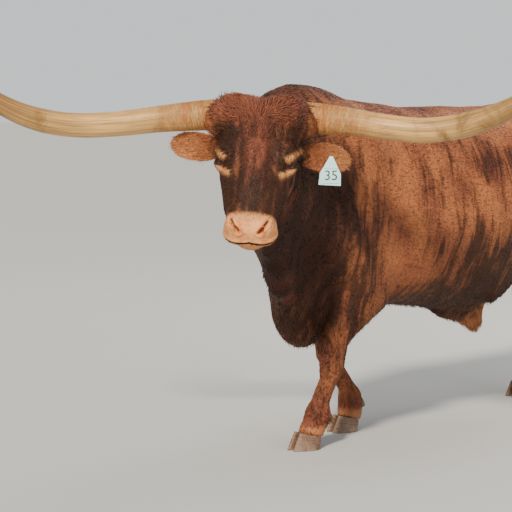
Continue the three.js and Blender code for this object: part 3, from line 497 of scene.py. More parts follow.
class CoatSettings(bpy.types.PropertyGroup):
    depth: distance("Coat depth", "How far the skin lies inside the solids", 0.002, 0.01)
    hair_length: distance("Body hair", "Length of a tuft on the body", 0.021, 0.06)
    poll_length: distance("Poll hair", "Length of the tousled hair between the horns", 0.052, 0.12)
    body_tufts: amount("Body tufts", "Number of tufts on the trunk, neck and legs", 84000, 150000)
    head_tufts: amount("Head tufts", "Number of short tufts on the head and ears", 36000, 60000)
    poll_tufts: amount("Poll tufts", "Number of long tufts between the horns", 7600, 12000)
    switch_locks: amount("Switch locks", "Number of long locks in the tail switch", 900, 3000)


class ColourSettings(bpy.types.PropertyGroup):
    warm: swatch("Warm hide", "Lightest red-brown of the coat", (0.44, 0.150, 0.056))
    russet: swatch("Russet hide", "Deeper red-brown of the coat", (0.22, 0.064, 0.033))
    dark: swatch("Dark hide", "Colour of the brindle stripes and the face", (0.026, 0.0125, 0.0085))
    buff: swatch("Buff", "Pale hair round the muzzle and eyes", (0.70, 0.31, 0.120))
    horn: swatch("Horn", "Middle colour of the horns", (0.54, 0.32, 0.115))
    hoof: swatch("Hoof", "Colour of the hooves", (0.20, 0.105, 0.060))
    tag: swatch("Tag", "Colour of the ear tag", (0.57, 0.92, 0.89))
    tag_mark: StringProperty(name="Tag number", description="Plain number on the ear tag",
                             default="35")


class StageSettings(bpy.types.PropertyGroup):
    key: FloatProperty(
        name="Key light", description="Strength of the sunlight from the camera's left",
        default=4.5, min=0)
    fill: FloatProperty(
        name="Fill light", description="Strength of the soft light on the camera's right",
        default=120, min=0, subtype="POWER", unit="POWER")
    floor: swatch("Floor", "Colour of the plain floor", (0.62, 0.62, 0.60))


class LonghornSettings(bpy.types.PropertyGroup):
    coat: PointerProperty(type=CoatSettings)
    colours: PointerProperty(type=ColourSettings)
    stage: PointerProperty(type=StageSettings)


def settings():
    """The sizes and colours of this scene's steer."""
    return bpy.context.scene.longhorn


# Materials

class Nodes:
    """A short way to add and join shader nodes."""

    def __init__(self, tree):
        self.tree = tree

    def add(self, kind, inputs=(), **values):
        """A new node with its settings and its inputs' values or links."""
        node = self.tree.nodes.new(kind)
        for name, value in values.items():
            setattr(node, name, value)
        for key, value in dict(inputs).items():
            self.put(node.inputs[key], value)
        return node

    def put(self, socket, value):
        """Link another node's output to a socket, or set the socket's own value."""
        if isinstance(value, bpy.types.NodeSocket):
            self.tree.links.new(value, socket)
        elif hasattr(socket.default_value, "__len__") and len(socket.default_value) == 4:
            socket.default_value = (*value, 1)[:4]
        else:
            socket.default_value = value

    def math(self, operation, a, b=0.0):
        """One sum, product or other step of arithmetic."""
        return self.add("ShaderNodeMath", {0: a, 1: b}, operation=operation).outputs[0]

    def noise(self, vector, scale, detail=2.0, roughness=0.5, distortion=0.0):
        """Cloudy noise around one half."""
        node = self.add("ShaderNodeTexNoise", {
            "Vector": vector, "Scale": scale, "Detail": detail, "Roughness": roughness,
            "Distortion": distortion})
        return node.outputs["Fac"]

    def grain(self, vector, scale, detail=3.0, roughness=0.6, distortion=0.0, turn=(0, 0, 0)):
        """Noise drawn out into grain: it is finest along the axis with the largest scale."""
        drawn = self.add("ShaderNodeMapping", {"Vector": vector, "Scale": scale, "Rotation": turn})
        return self.noise(drawn.outputs[0], 1.0, detail, roughness, distortion)

    def ramp(self, value, low, high, out_low=0.0, out_high=1.0):
        """A smooth change from one output to the other as the value goes from low to high."""
        node = self.add("ShaderNodeMapRange", {
            "Value": value, "From Min": low, "From Max": high,
            "To Min": out_low, "To Max": out_high}, interpolation_type="SMOOTHSTEP")
        return node.outputs[0]

    def mix(self, factor, a, b, blend="MIX"):
        """Colour a turning into colour b as the factor rises."""
        node = self.add("ShaderNodeMix", data_type="RGBA", blend_type=blend)
        self.put(node.inputs[0], factor)
        self.put(node.inputs[6], a)
        self.put(node.inputs[7], b)
        return node.outputs[2]


def group(name, inputs, outputs):
    """A new shader node group with named sockets, and its node helper."""
    tree = bpy.data.node_groups.new(name, "ShaderNodeTree")
    for label, kind, default in inputs:
        socket = tree.interface.new_socket(label, in_out="INPUT", socket_type=kind)
        if default is not None:
            socket.default_value = default
    for label, kind in outputs:
        tree.interface.new_socket(label, in_out="OUTPUT", socket_type=kind)
    nodes = Nodes(tree)
    return tree, nodes, nodes.add("NodeGroupInput"), nodes.add("NodeGroupOutput")


COLOUR = "NodeSocketColor"
NUMBER = "NodeSocketFloat"
VECTOR = "NodeSocketVector"
HIDE_COLOURS = ("Warm", "Russet", "Dark", "Buff")
# The brindle's stripes lean back a little from upright
STRIPE_TURN = (0.16, 0.0, 0.0)
NOSE_PALE = (0.98, 0.42, 0.155)
NOSE_DEEP = (0.62, 0.205, 0.068)


def hide_group():
    """Brindled hide: colour, roughness and bump height from place and markings."""
    if "Brindled hide" in bpy.data.node_groups:
        return bpy.data.node_groups["Brindled hide"]
    tree, n, given, out = group(
        "Brindled hide",
        [("Vector", VECTOR, None), ("Marks", COLOUR, None), ("Bare", NUMBER, 0.0),
         *((label, COLOUR, None) for label in HIDE_COLOURS)],
        [("Color", COLOUR), ("Roughness", NUMBER), ("Height", NUMBER)])
    place = given.outputs["Vector"]
    bare = given.outputs["Bare"]
    warm, russet, dark, buff = (given.outputs[label] for label in HIDE_COLOURS)
    marks = n.add("ShaderNodeSeparateColor", {"Color": given.outputs["Marks"]}).outputs
    patch = n.noise(place, 2.6, 3.0, 0.55)
    stripe = n.grain(place, (8.0, 27.0, 4.0), 5.0, 0.62, 0.55, STRIPE_TURN)
    thread = n.grain(place, (22.0, 92.0, 13.0), 3.0, 0.6, 0.3, STRIPE_TURN)
    zone = n.math("ADD", n.math("MULTIPLY", patch, 0.55), n.math("MULTIPLY", marks[0], 0.42))
    level = n.math("SUBTRACT", 0.975, zone)
    brindle = n.math("ADD", n.math("MULTIPLY", stripe, 0.80), n.math("MULTIPLY", thread, 0.20))
    striped = n.ramp(brindle, n.math("SUBTRACT", level, 0.055), n.math("ADD", level, 0.13))
    reddened = n.ramp(n.math("ADD", patch, n.math("MULTIPLY", marks[1], 0.35)), 0.45, 0.90)
    coat = n.mix(reddened, warm, russet)
    shade = n.grain(place, (30.0, 120.0, 26.0))
    coat = n.mix(n.ramp(shade, 0.3, 0.75, 0.0, 0.34), coat, dark)
    coat = n.mix(n.math("MULTIPLY", striped, 0.80), coat, dark)
    # The dark share darkens the coat, along with the painted shadow and shade that it holds
    coat = n.mix(n.ramp(marks[0], 0.30, 0.95, 0.0, 0.74), coat, dark)
    coat = n.mix(n.math("MULTIPLY", n.ramp(marks[1], 0.7, 1.0), 0.35), coat, russet)
    freckle = n.noise(place, 260.0, 2.0, 0.6)
    pale = n.mix(n.ramp(freckle, 0.5, 0.72, 0.0, 0.35), buff, warm)
    colour = n.mix(n.math("MULTIPLY", marks[2], n.ramp(freckle, 0.15, 0.45, 0.72, 1.0)), coat, pale)
    nose = n.mix(n.ramp(n.noise(place, 30.0, 4.0, 0.6), 0.42, 0.70), NOSE_PALE, NOSE_DEEP)
    colour = n.mix(bare, colour, nose)
    hair = n.grain(place, (620.0, 130.0, 620.0), 2.0, 0.5)
    clump = n.grain(place, (170.0, 46.0, 120.0), 3.0, 0.55)
    pebble = n.add("ShaderNodeTexVoronoi", {"Vector": place, "Scale": 330.0}).outputs["Distance"]
    coat_height = n.math("ADD", n.math("MULTIPLY", hair, 0.45), clump)
    height = n.add("ShaderNodeMix", {0: bare, 2: coat_height, 3: n.math("MULTIPLY", pebble, -1.1)})
    wet = n.ramp(bare, 0.2, 0.9, 0.0, -0.16)
    rough = n.math("ADD", n.ramp(hair, 0.3, 0.7, 0.50, 0.66), wet)
    for label, value in (("Color", colour), ("Roughness", rough), ("Height", height.outputs[0])):
        n.put(out.inputs[label], value)
    return tree


def start_material(name):
    """A new material, its node helper and its shader, already joined to the output."""
    material = bpy.data.materials.new(name)
    material.use_nodes = True
    n = Nodes(material.node_tree)
    n.tree.nodes.clear()
    shader = n.add("ShaderNodeBsdfPrincipled")
    output = n.add("ShaderNodeOutputMaterial")
    n.put(output.inputs["Surface"], shader.outputs[0])
    return material, n, shader


def dress(n, shader, height, strength, depth, **values):
    """Give a shader its bump and its other values, each named as its socket with _ for a space."""
    node = n.add("ShaderNodeBump", {"Height": height, "Strength": strength, "Distance": depth})
    n.put(shader.inputs["Normal"], node.outputs[0])
    for label, value in values.items():
        n.put(shader.inputs[label.replace("_", " ")], value)


def hide_material(name, sheen, bump_share, tufts=True):
    """The brindled hide on skin, or on hair with a tone of its own for each tuft."""
    material, n, shader = start_material(name)
    colours = settings().colours
    marks = n.add("ShaderNodeAttribute", attribute_name="marks")
    hide = n.add("ShaderNodeGroup", node_tree=hide_group())
    n.put(hide.inputs["Vector"], n.add("ShaderNodeTexCoord").outputs["Object"])
    n.put(hide.inputs["Marks"], marks.outputs["Color"])
    for label in HIDE_COLOURS:
        n.put(hide.inputs[label], getattr(colours, label.lower()))
    colour = hide.outputs["Color"]
    if tufts:
        tone = n.add("ShaderNodeAttribute", attribute_name="tone").outputs["Fac"]
        level = n.ramp(tone, 0.0, 1.0, 0.76, 1.46)
        grey = n.add("ShaderNodeCombineColor", {0: level, 1: level, 2: level}).outputs[0]
        colour = n.mix(1.0, colour, grey, "MULTIPLY")
    else:
        n.put(hide.inputs["Bare"], marks.outputs["Alpha"])
    dress(n, shader, hide.outputs["Height"], bump_share, 0.001, Base_Color=colour,
          Roughness=hide.outputs["Roughness"], Sheen_Weight=sheen, Sheen_Roughness=0.4,
          Specular_IOR_Level=0.13)
    return material


def plain_material(name, colour, roughness, speck=0.3, scale=60.0):
    """A finish with soft cloudy variation of one colour."""
    material, n, shader = start_material(name)
    place = n.add("ShaderNodeTexCoord").outputs["Object"]
    cloud = n.noise(place, scale, 4.0, 0.6)
    darker = tuple(0.55 * part for part in colour)
    dress(n, shader, cloud, 0.25, 0.0006,
          Base_Color=n.mix(n.ramp(cloud, 0.35, 0.75, 0.0, speck), colour, darker),
          Roughness=n.ramp(cloud, 0.3, 0.7, roughness - 0.05, roughness + 0.08))
    return material


# Skin

def raised(points):
    """How far sculpting moves each point of the skin along its normal."""
    side, along, rise = to_head(points)
    across = np.abs(side)
    local = np.stack([across, along, rise], 1)
    face = step(0.37, 0.40, along) * step(-0.20, -0.17, rise)
    mouth = mouth_level(along)
    groove = -0.0085 * np.exp(-((rise - mouth) / 0.0032) ** 2) * face
    lips = np.exp(-((rise - mouth + 0.011) / 0.006) ** 2) + np.exp(-((rise - mouth - 0.010) / 0.006) ** 2)
    lips = 0.0026 * lips * step(0.44, 0.48, along)
    slit = nostril_distance(across, along, rise)
    nostril = -0.0150 * np.exp(-(slit / 0.0042) ** 2)
    wing = 0.0040 * np.exp(-((slit - 0.0125) / 0.0050) ** 2)
    split = np.exp(-(side / 0.0028) ** 2) * step(0.486, 0.500, along) * step(-0.090, -0.082, rise)
    wrinkle = 0.0008 * np.sin(along * 2 * math.pi / 0.017 + 120 * rise)
    wrinkle = wrinkle * step(0.36, 0.40, along) * step(0.45, 0.42, along) * step(0.05, 0.07, across)
    brow = 0.0011 * np.sin((along - 0.35 * across) * 2 * math.pi / 0.016)
    brow = brow * bump_at(local, (0.098, 0.205, -0.004), (0.028, 0.030, 0.03))
    return groove + lips + nostril + wing - 0.0018 * split + wrinkle + brow + neck_folds(points)


def mouth_level(along):
    """Rise of the mouth line: it climbs from the corner to the front of the lips."""
    return MOUTH_CORNER + MOUTH_CLIMB * step(*MOUTH_ALONG, along)


def nostril_distance(across, along, rise):
    """Distance from a nostril's slanting slit, measured on the sloping nose pad."""
    down = 0.8 * along - 0.6 * rise
    on_pad = np.stack([across, down, np.zeros(len(down))], 1)
    away = distance_to_line(on_pad, NOSTRIL_INNER, NOSTRIL_OUTER)
    return np.where((rise > -0.075) & (along > 0.43), away, 1.0)


def distance_to_line(points, start, end):
    """Distance of each point from a straight piece of line."""
    start, end = np.array(start), np.array(end)
    way = end - start
    t = np.clip((points - start) @ way / (way @ way), 0, 1)
    return np.linalg.norm(points - start - t[:, None] * way, axis=1)


def neck_folds(points):
    """Upright folds of loose skin on the neck and dewlap, and softer muscles behind them."""
    x = points[:, 0] + ORIGIN.x
    y = points[:, 1] + ORIGIN.y
    z = points[:, 2]
    wobble = 0.030 * field_noise(points, 0.35, 11)
    behind = -0.60 * x + 0.80 * y + 0.10 * (z - 1.0) + wobble
    zone = step(-0.66, -0.56, behind) * step(-0.16, -0.30, behind) * step(1.33, 1.18, z)
    zone *= step(0.50, 0.62, z)
    fold = np.sin(2 * math.pi * behind / 0.066)
    fold = np.sign(fold) * np.abs(fold) ** 0.8
    folds = 0.0100 * zone * fold * (0.55 + 0.45 * field_noise(points, 0.22, 12))
    muscle = 0.004 * field_noise(points * np.array([1.0, 1.2, 0.55]), 0.30, 13)
    body = step(0.45, 0.60, z) * step(-0.45, -0.30, y)
    return folds + muscle * body


def eye_distance(side, along, rise):
    """Distance from the middle of the nearer eye."""
    return np.linalg.norm(np.stack([np.abs(side), along, rise], 1) - np.array(EYE_PLACE), axis=1)


def fused_flesh():
    """The flesh solids grown over their thin cuts, as one even surface of triangles."""
    skin = copied("skin", FLESH)
    set_places(skin, places(skin) + 0.0005 * normals_of(skin))
    use(skin)
    skin.data.remesh_voxel_size = SKIN_CELL
    skin.data.use_remesh_preserve_volume = True
    bpy.ops.object.voxel_remesh()
    top = places(skin)[:, 2]
    edit(skin, top == top.max(), (bpy.ops.mesh.select_linked, {}),
         (bpy.ops.mesh.select_all, {"action": "INVERT"}), (bpy.ops.mesh.delete, {"type": "VERT"}))
    relax(skin, 36, 1 - head_share(*to_head(places(skin))))
    relax(skin, 7)
    modify(skin, "TRIANGULATE")
    return skin


def head_share(side, along, rise):
    """1 over the head, 0 behind it, with no limit to the sides."""
    return step(-0.28, -0.20, rise) * step(-0.12, -0.04, along)


def make_skin(depth):
    """One skin over all the flesh, finest at eyes and muzzle, inside it by the coat's depth."""
    skin = fused_flesh()
    for on_head, ratio in ((False, BODY_FACES_KEPT), (True, HEAD_FACES_KEPT)):
        side, along, rise = to_head(places(skin))
        head = head_share(side, along, rise) >= 0.5
        keen = (along > 0.41) | (eye_distance(side, along, rise) < 0.07)
        edit(skin, head & ~keen if on_head else ~head, (bpy.ops.mesh.decimate, {"ratio": ratio}))
    for ring, with_muzzle in ((0.055, True), (0.040, False)):
        side, along, rise = to_head(places(skin))
        fine = eye_distance(side, along, rise) < ring
        if with_muzzle:
            fine |= (along > 0.43) & (rise > -0.20) & (np.abs(side) < 0.2)
        edit(skin, fine, (bpy.ops.mesh.subdivide, {"number_cuts": 1, "smoothness": 0.6}))
    modify(skin, "TRIANGULATE")
    relax(skin, 2)
    side, along, rise = to_head(places(skin))
    relax(skin, 40, step(0.019, 0.012, nostril_distance(np.abs(side), along, rise)), (0.5,))
    points = places(skin)
    inward = depth * step(0.0, 0.05, points[:, 2])
    points = points + normals_of(skin) * (raised(points) - inward)[:, None]
    for flip in (1, -1):
        points = part_lids(points, flip)
    set_places(skin, points)
    return skin


def part_lids(points, flip):
    """Sink the skin behind the eye's opening, and lay the lids on the ball around it."""
    centre, slit, over, look = lid_frame(flip)
    away = points - centre
    reach = np.linalg.norm(away, axis=1)
    way = away / reach[:, None]
    u = np.arcsin(np.clip(way @ slit, -1, 1))
    v = np.arcsin(np.clip(way @ over, -1, 1))
    facing = (way @ look > 0) & (reach < 0.045)
    high = np.where(v > 0, LID_HIGH, LID_LOW)
    place = np.sqrt((u / LID_LONG) ** 2 + (v / high) ** 2)
    sunk = step(1.06, 0.90, place)
    lid = step(2.1, 1.15, place) * (1 - sunk)
    wanted = reach + lid * (EYE_RADIUS + 0.0032 + 0.002 * (place - 1).clip(0) - reach)
    wanted = wanted + sunk * (EYE_RADIUS - 0.007 - wanted)
    wanted = np.where(facing, wanted, reach)
    return centre + way * wanted[:, None]


def make_ears():
    """The ear cups, smoothed, as part of the skin."""
    ears = copied("ears", EARS)
    modify(ears, "REMESH", mode="VOXEL", voxel_size=EAR_CELL)
    relax(ears, 12)
    modify(ears, "DECIMATE", ratio=0.5)
    return ears


class LONGHORN_OT_skin(bpy.types.Operator):
    """Make the skin with its ears from the flesh solids"""
    bl_idname = "longhorn.skin"
    bl_label = "Skin"

    def execute(self, context):
        skin = joined(make_skin(settings().coat.depth), make_ears())
        store(skin, "marks", "FLOAT_COLOR", "color", markings(places(skin)))
        unwrap = {"angle_limit": math.radians(66), "island_margin": 0.001}
        edit(skin, None, (bpy.ops.uv.smart_project, unwrap))
        skin.data.uv_layers.active.name = "OFBake"
        skin.data.shade_smooth()
        finish = hide_material("brindled hide", 0.02, 0.9, tufts=False)
        finish_piece(skin, finish, "hide", *FLESH, *EARS)
        return {"FINISHED"}


# Horns

def smooth_path(points, spread):
    """A centripetal curve through points, cut into equal steps of its length."""
    p = np.array(points, float)
    p = np.vstack([2 * p[0] - p[1], p, 2 * p[-1] - p[-2]])
    curve = []
    for p0, p1, p2, p3 in zip(p, p[1:], p[2:], p[3:]):
        d0, d1, d2 = (math.sqrt(np.linalg.norm(b - a)) for a, b in ((p0, p1), (p1, p2), (p2, p3)))
        t1 = ((p1 - p0) / d0 - (p2 - p0) / (d0 + d1) + (p2 - p1) / d1) * d1
        t2 = ((p2 - p1) / d1 - (p3 - p1) / (d1 + d2) + (p3 - p2) / d2) * d1
        t = np.linspace(0, 1, 40, endpoint=False)[:, None]
        curve.append(p1 + t1 * t + (-3 * p1 + 3 * p2 - 2 * t1 - t2) * t ** 2
                     + (2 * p1 - 2 * p2 + t1 + t2) * t ** 3)
    curve = np.vstack([*curve, p[-2][None]])
    run = np.concatenate([[0], np.cumsum(np.linalg.norm(np.diff(curve, axis=0), axis=1))])
    at = np.linspace(0, run[-1], spread)
    return np.stack([np.interp(at, run, curve[:, k]) for k in range(3)], 1), at


def frames_along(line, first):
    """Two crosswise directions at each point of a line, turning as little as possible."""
    way = unit(np.gradient(line, axis=0))
    across = np.empty_like(line)
    held = np.array(first, float)
    for i, ahead in enumerate(way):
        held = held - ahead * (held @ ahead)
        held /= np.linalg.norm(held)
        across[i] = held
    return across, np.cross(way, across)


def make_horn(name, flip):
    """A horn with rough rings near its root, and its grain kept as an attribute."""
    path = [POLL + SIDEWAYS * flip * out + HEAD_UP * high + FACING * ahead
            for out, high, ahead in HORN_PATH[name]]
    line, run = smooth_path(path, HORN_RINGS)
    share = run / run[-1]
    first, second = frames_along(line, HEAD_UP)
    turn = np.linspace(0, 2 * math.pi, HORN_SIDES, endpoint=False)
    radius = np.interp(share, *zip(*HORN_RADII))
    root = step(0.34, 0.04, share)
    draw = np.random.default_rng(SEED + int(flip))
    rings = np.convolve(draw.normal(size=len(run) + 6), np.ones(3) / 3, "same")[3:-3]
    radius = radius * (1 + 0.012 * root * rings)
    grain = np.stack([np.outer(np.ones(len(run)), np.cos(turn)),
                      np.outer(np.ones(len(run)), np.sin(turn)), np.outer(run, np.ones(len(turn)))], 2)
    knots = field_noise(grain.reshape(-1, 3) * (1, 1, 6), 1.6, 5 + int(flip)).reshape(grain.shape[:2])
    size = radius[:, None] * (1 + 0.022 * knots * step(0.9, 0.1, share)[:, None])
    points = (line[:, None] + size[:, :, None] * (grain[:, :, :1] * first[:, None]
              + grain[:, :, 1:2] * second[:, None])).reshape(-1, 3)
    faces = []
    for i in range(len(run) - 1):
        for j in range(HORN_SIDES):
            k = (j + 1) % HORN_SIDES
            a, b = i * HORN_SIDES, (i + 1) * HORN_SIDES
            faces.append((a + j, b + j, b + k, a + k) if flip > 0 else (a + k, b + k, b + j, a + j))
    horn = closed_mesh("horn_" + name + "_keratin", points, faces, open_ends=True)
    grain = grain.reshape(-1, 3) * (GRAIN_RADIUS, GRAIN_RADIUS, 1)
    store(horn, "grain", "FLOAT_VECTOR", "vector", grain)
    return horn


def horn_material():
    material, n, shader = start_material("horn keratin")
    tan = settings().colours.horn
    grain = n.add("ShaderNodeAttribute", attribute_name="grain").outputs["Vector"]
    place = n.add("ShaderNodeTexCoord").outputs["Object"]
    run = n.add("ShaderNodeSeparateXYZ", {"Vector": grain}).outputs["Z"]
    root = n.ramp(run, 0.42, 0.10)
    tip = n.ramp(run, 1.05, 1.38)
    streaks = n.grain(grain, (70, 70, 3.2), 5.0, 0.62, 0.4)
    threads = n.grain(grain, (260, 260, 5.0))
    bands = n.grain(grain, (9, 9, 46), 4.0, 0.68, 0.6)
    ticks = n.grain(grain, (60, 60, 330))
    stains = n.noise(place, 9.0, 5.0, 0.65, 0.7)
    light = (min(tan[0] * 1.62, 1), min(tan[1] * 1.58, 1), min(tan[2] * 1.50, 1))
    brown = (tan[0] * 0.34, tan[1] * 0.27, tan[2] * 0.22)
    rust = (tan[0] * 0.80, tan[1] * 0.48, tan[2] * 0.30)
    colour = n.mix(n.ramp(streaks, 0.34, 0.64), light, (*tan,))
    colour = n.mix(n.ramp(stains, 0.47, 0.68, 0.0, 0.80), colour, brown)
    colour = n.mix(n.ramp(threads, 0.46, 0.64, 0.0, 0.55), colour, brown)
    rooted = n.mix(n.ramp(bands, 0.40, 0.62, 0.0, 0.70), rust, (*tan,))
    rooted = n.mix(n.ramp(ticks, 0.46, 0.62, 0.0, 0.72), rooted, brown)
    colour = n.mix(root, colour, rooted)
    outer = n.ramp(run, 0.40, 0.88, 0.0, 0.80)
    colour = n.mix(n.math("MULTIPLY", outer, n.ramp(streaks, 0.2, 0.6, 0.6, 1.0)), colour, brown)
    colour = n.mix(n.math("MULTIPLY", tip, 0.62), colour, (0.12, 0.085, 0.060))
    smooth = n.ramp(streaks, 0.3, 0.7, 0.30, 0.44)
    fine = n.math("MULTIPLY", threads, 0.25)
    rough = n.math("MULTIPLY", n.math("ADD", bands, ticks), n.math("ADD", root, 0.08))
    dress(n, shader, n.math("ADD", fine, rough), 0.55, 0.0022, Base_Color=colour,
          Roughness=n.math("ADD", smooth, n.math("MULTIPLY", root, 0.22)), Specular_IOR_Level=0.28)
    return material


class LONGHORN_OT_horns(bpy.types.Operator):
    """Sweep both horns along their paths"""
    bl_idname = "longhorn.horns"
    bl_label = "Horns"

    def execute(self, context):
        finish = horn_material()
        for name, flip in (("left", 1), ("right", -1)):
            finish_piece(make_horn(name, flip), finish, "horn", "horn_" + name)
        return {"FINISHED"}


# Eyes

def eye_frame(flip):
    """Centre of an eye, and its directions: along the lids, across them, and outwards."""
    centre = from_head(flip * EYE_PLACE[0], *EYE_PLACE[1:])
    look = head_direction(flip * EYE_LOOK[0], *EYE_LOOK[1:])
    slit = head_direction(flip * EYE_SLIT[0], *EYE_SLIT[1:])
    slit = (slit - look * slit.dot(look)).normalized()
    return centre, slit, look.cross(slit), look


def lid_frame(flip):
    """The eye's frame as arrays, with the direction across the lids pointing up."""
    centre, slit, over, look = (np.array(part) for part in eye_frame(flip))
    return centre, slit, over * np.sign(over @ np.array(HEAD_UP)), look


def make_ball(name, flip):
    """An eyeball with a raised cornea, its own directions kept as an attribute."""
    centre, slit, over, look = eye_frame(flip)
    ball = primitive(bpy.ops.mesh.primitive_uv_sphere_add, name, segments=48, ring_count=32,
                     radius=EYE_RADIUS - 0.0003)
    local = places(ball)
    gaze = unit(local)
    bulge = 0.0016 * step(0.84, 0.99, gaze[:, 2])
    local = local + gaze * bulge[:, None]
    turn = np.array([slit, over, look])
    set_places(ball, local @ turn + np.array(centre))
    store(ball, "gaze", "FLOAT_VECTOR", "vector", gaze)
    ball.data.shade_smooth()
    if np.linalg.det(turn) < 0:
        ball.data.flip_normals()
    return ball


def almond(turn):
    """The lid opening at an angle round it, in angles along and across the ball."""
    c, s = np.cos(turn), np.sin(turn)
    along = LID_LONG * np.sign(c) * np.abs(c) ** 0.85
    across = np.where(s > 0, LID_HIGH, LID_LOW) * np.sign(s) * np.abs(s) ** 1.15
    return along, across


def make_lids(name, flip):
    """The wet dark rims of both lids, with lashes on the upper one."""
    centre, slit, over, look = lid_frame(flip)

    def outward(u, v):
        """The direction at an angle along the lids and one across them."""
        return slit * math.sin(u) * math.cos(v) + over * math.sin(v) + look * math.cos(u) * math.cos(v)

    count = 56
    rim = 8
    turn = np.linspace(0, 2 * math.pi, count, endpoint=False)
    wide, high = almond(turn)
    points = []
    for i in range(count):
        for k in range(rim):
            around = 2 * math.pi * k / rim
            reach = 1.05 + 0.15 * math.cos(around)
            radius = EYE_RADIUS + 0.0009 + 0.0016 * math.sin(around)
            points.append(centre + radius * outward(wide[i] * reach, high[i] * reach))
    faces = []
    for i in range(count):
        j = (i + 1) % count
        for k in range(rim):
            m = (k + 1) % rim
            faces.append((i * rim + k, j * rim + k, j * rim + m, i * rim + m))
    draw = np.random.default_rng(SEED + 9)
    for place in np.linspace(0.25, math.pi - 0.25, LASHES):
        u, v = (float(angle) for angle in almond(place + draw.normal() * 0.03))
        root = centre + (EYE_RADIUS + 0.0018) * outward(u, v)
        aim = unit(look * 0.75 + over * -0.10 + slit * 0.25 * (u + draw.normal() * 0.3))
        reach = 0.013 + 0.004 * draw.random()
        side = unit(np.cross(aim, over)) * 0.00035
        lift = over * 0.0003
        base = len(points)
        bend = root + aim * reach * 0.6 - over * 0.001
        points += [root - side, root + side, root + lift, bend - side * 0.7, bend + side * 0.7,
                   bend + lift * 0.7, root + aim * reach + over * 0.001]
        faces += [(base, base + 2, base + 1), (base, base + 1, base + 4, base + 3),
                  (base + 1, base + 2, base + 5, base + 4), (base + 2, base, base + 3, base + 5),
                  (base + 3, base + 4, base + 6), (base + 4, base + 5, base + 6),
                  (base + 5, base + 3, base + 6)]
    return closed_mesh(name, points, faces)


def eye_material():
    material, n, shader = start_material("wet eye")
    gaze = n.add("ShaderNodeAttribute", attribute_name="gaze").outputs["Vector"]
    axes = n.add("ShaderNodeSeparateXYZ", {"Vector": gaze}).outputs
    wide, high = (n.math("POWER", n.math("ABSOLUTE", n.math("DIVIDE", axes[axis], size)), 2.0)
                  for axis, size in (("X", 0.34), ("Y", 0.17)))
    pupil = n.math("ADD", wide, high)
    fibres = n.grain(gaze, (16, 16, 1.0))
    iris = n.mix(n.ramp(fibres, 0.35, 0.7), (0.075, 0.030, 0.012), (0.024, 0.010, 0.005))
    white = n.mix(n.ramp(fibres, 0.3, 0.7), (0.14, 0.085, 0.065), (0.06, 0.032, 0.024))
    colour = n.mix(n.ramp(axes["Z"], 0.80, 0.84), white, iris)
    colour = n.mix(n.ramp(pupil, 1.12, 0.92), colour, (0.0025, 0.002, 0.003))
    n.put(shader.inputs["Base Color"], colour)
    n.put(shader.inputs["Roughness"], 0.30)
    n.put(shader.inputs["Specular IOR Level"], 0.12)
    n.put(shader.inputs["Coat Weight"], 0.16)
    n.put(shader.inputs["Coat Roughness"], 0.03)
    return material


class LONGHORN_OT_eyes(bpy.types.Operator):
    """Add the eyeballs and their lid rims"""
    bl_idname = "longhorn.eyes"
    bl_label = "Eyes"

    def execute(self, context):
        wet = eye_material()
        rim = plain_material("lid rim", (0.020, 0.011, 0.009), 0.34)
        for name, flip in (("left", 1), ("right", -1)):
            finish_piece(make_ball("eyeball_" + name, flip), wet, "eye", "eye_" + name)
            finish_piece(make_lids("lids_" + name, flip), rim, "dark_hide")
        return {"FINISHED"}


# Hooves

def make_hoof(node):
    """One claw or dewclaw, smoothed, with growth rings and a flat sole."""
    claw = copied(node + "_horn", [node])
    small = "dewclaw" in node
    modify(claw, "REMESH", mode="VOXEL", voxel_size=DEWCLAW_CELL if small else CLAW_CELL)
    relax(claw, 6)
    points = places(claw)
    normals = normals_of(claw)
    low = points[:, 2].min()
    height = points[:, 2] + 0.22 * points[:, 1]
    wall = step(0.75, 0.45, np.abs(normals[:, 2]))
    rings = np.sin(height * 2 * math.pi / 0.0085) + 0.6 * np.sin(height * 2 * math.pi / 0.0053 + 1.3)
    grown = points + normals * (0.00035 * rings * wall)[:, None]
    if not small:
        grown[:, 2] = np.where(grown[:, 2] < low + 0.0012, 0, grown[:, 2])
    set_places(claw, grown)
    modify(claw, "DECIMATE", ratio=0.45)
    claw.data.shade_smooth()
    return claw


def hoof_material():
    material, n, shader = start_material("hoof horn")
    colour = settings().colours.hoof
    place = n.add("ShaderNodeTexCoord").outputs["Object"]
    height = n.add("ShaderNodeSeparateXYZ", {"Vector": place}).outputs["Z"]
    rings = n.grain(place, (3, 26, 190), distortion=0.2)
    fibres = n.grain(place, (260, 260, 14))
    dust = n.noise(place, 42.0, 4.0, 0.6)
    dark = tuple(0.42 * part for part in colour)
    pale = (colour[0] * 1.9, colour[1] * 1.75, colour[2] * 1.5)
    tone = n.mix(n.ramp(rings, 0.35, 0.65), dark, (*colour,))
    tone = n.mix(n.ramp(fibres, 0.45, 0.7, 0.0, 0.4), tone, pale)
    low = n.ramp(height, 0.040, 0.0, 0.0, 0.75)
    soil = n.math("MULTIPLY", low, n.ramp(dust, 0.35, 0.62))
    tone = n.mix(soil, tone, (0.30, 0.22, 0.15))
    rough = n.math("ADD", n.ramp(rings, 0.3, 0.7, 0.38, 0.52), n.math("MULTIPLY", soil, 0.3))
    dress(n, shader, n.math("ADD", rings, n.math("MULTIPLY", fibres, 0.5)), 0.4, 0.0008,
          Base_Color=tone, Roughness=rough)
    return material


class LONGHORN_OT_hooves(bpy.types.Operator):
    """Smooth the claws and dewclaws and give them growth rings"""
    bl_idname = "longhorn.hooves"
    bl_label = "Hooves"

    def execute(self, context):
        finish = hoof_material()
        nodes = [f"{leg}_{part}_{end}" for leg in LEGS for part in ("claw", "dewclaw")
                 for end in ("outer", "inner")]
        for node in nodes:
            finish_piece(make_hoof(node), finish, "hoof", node)
        return {"FINISHED"}


# Ear tag

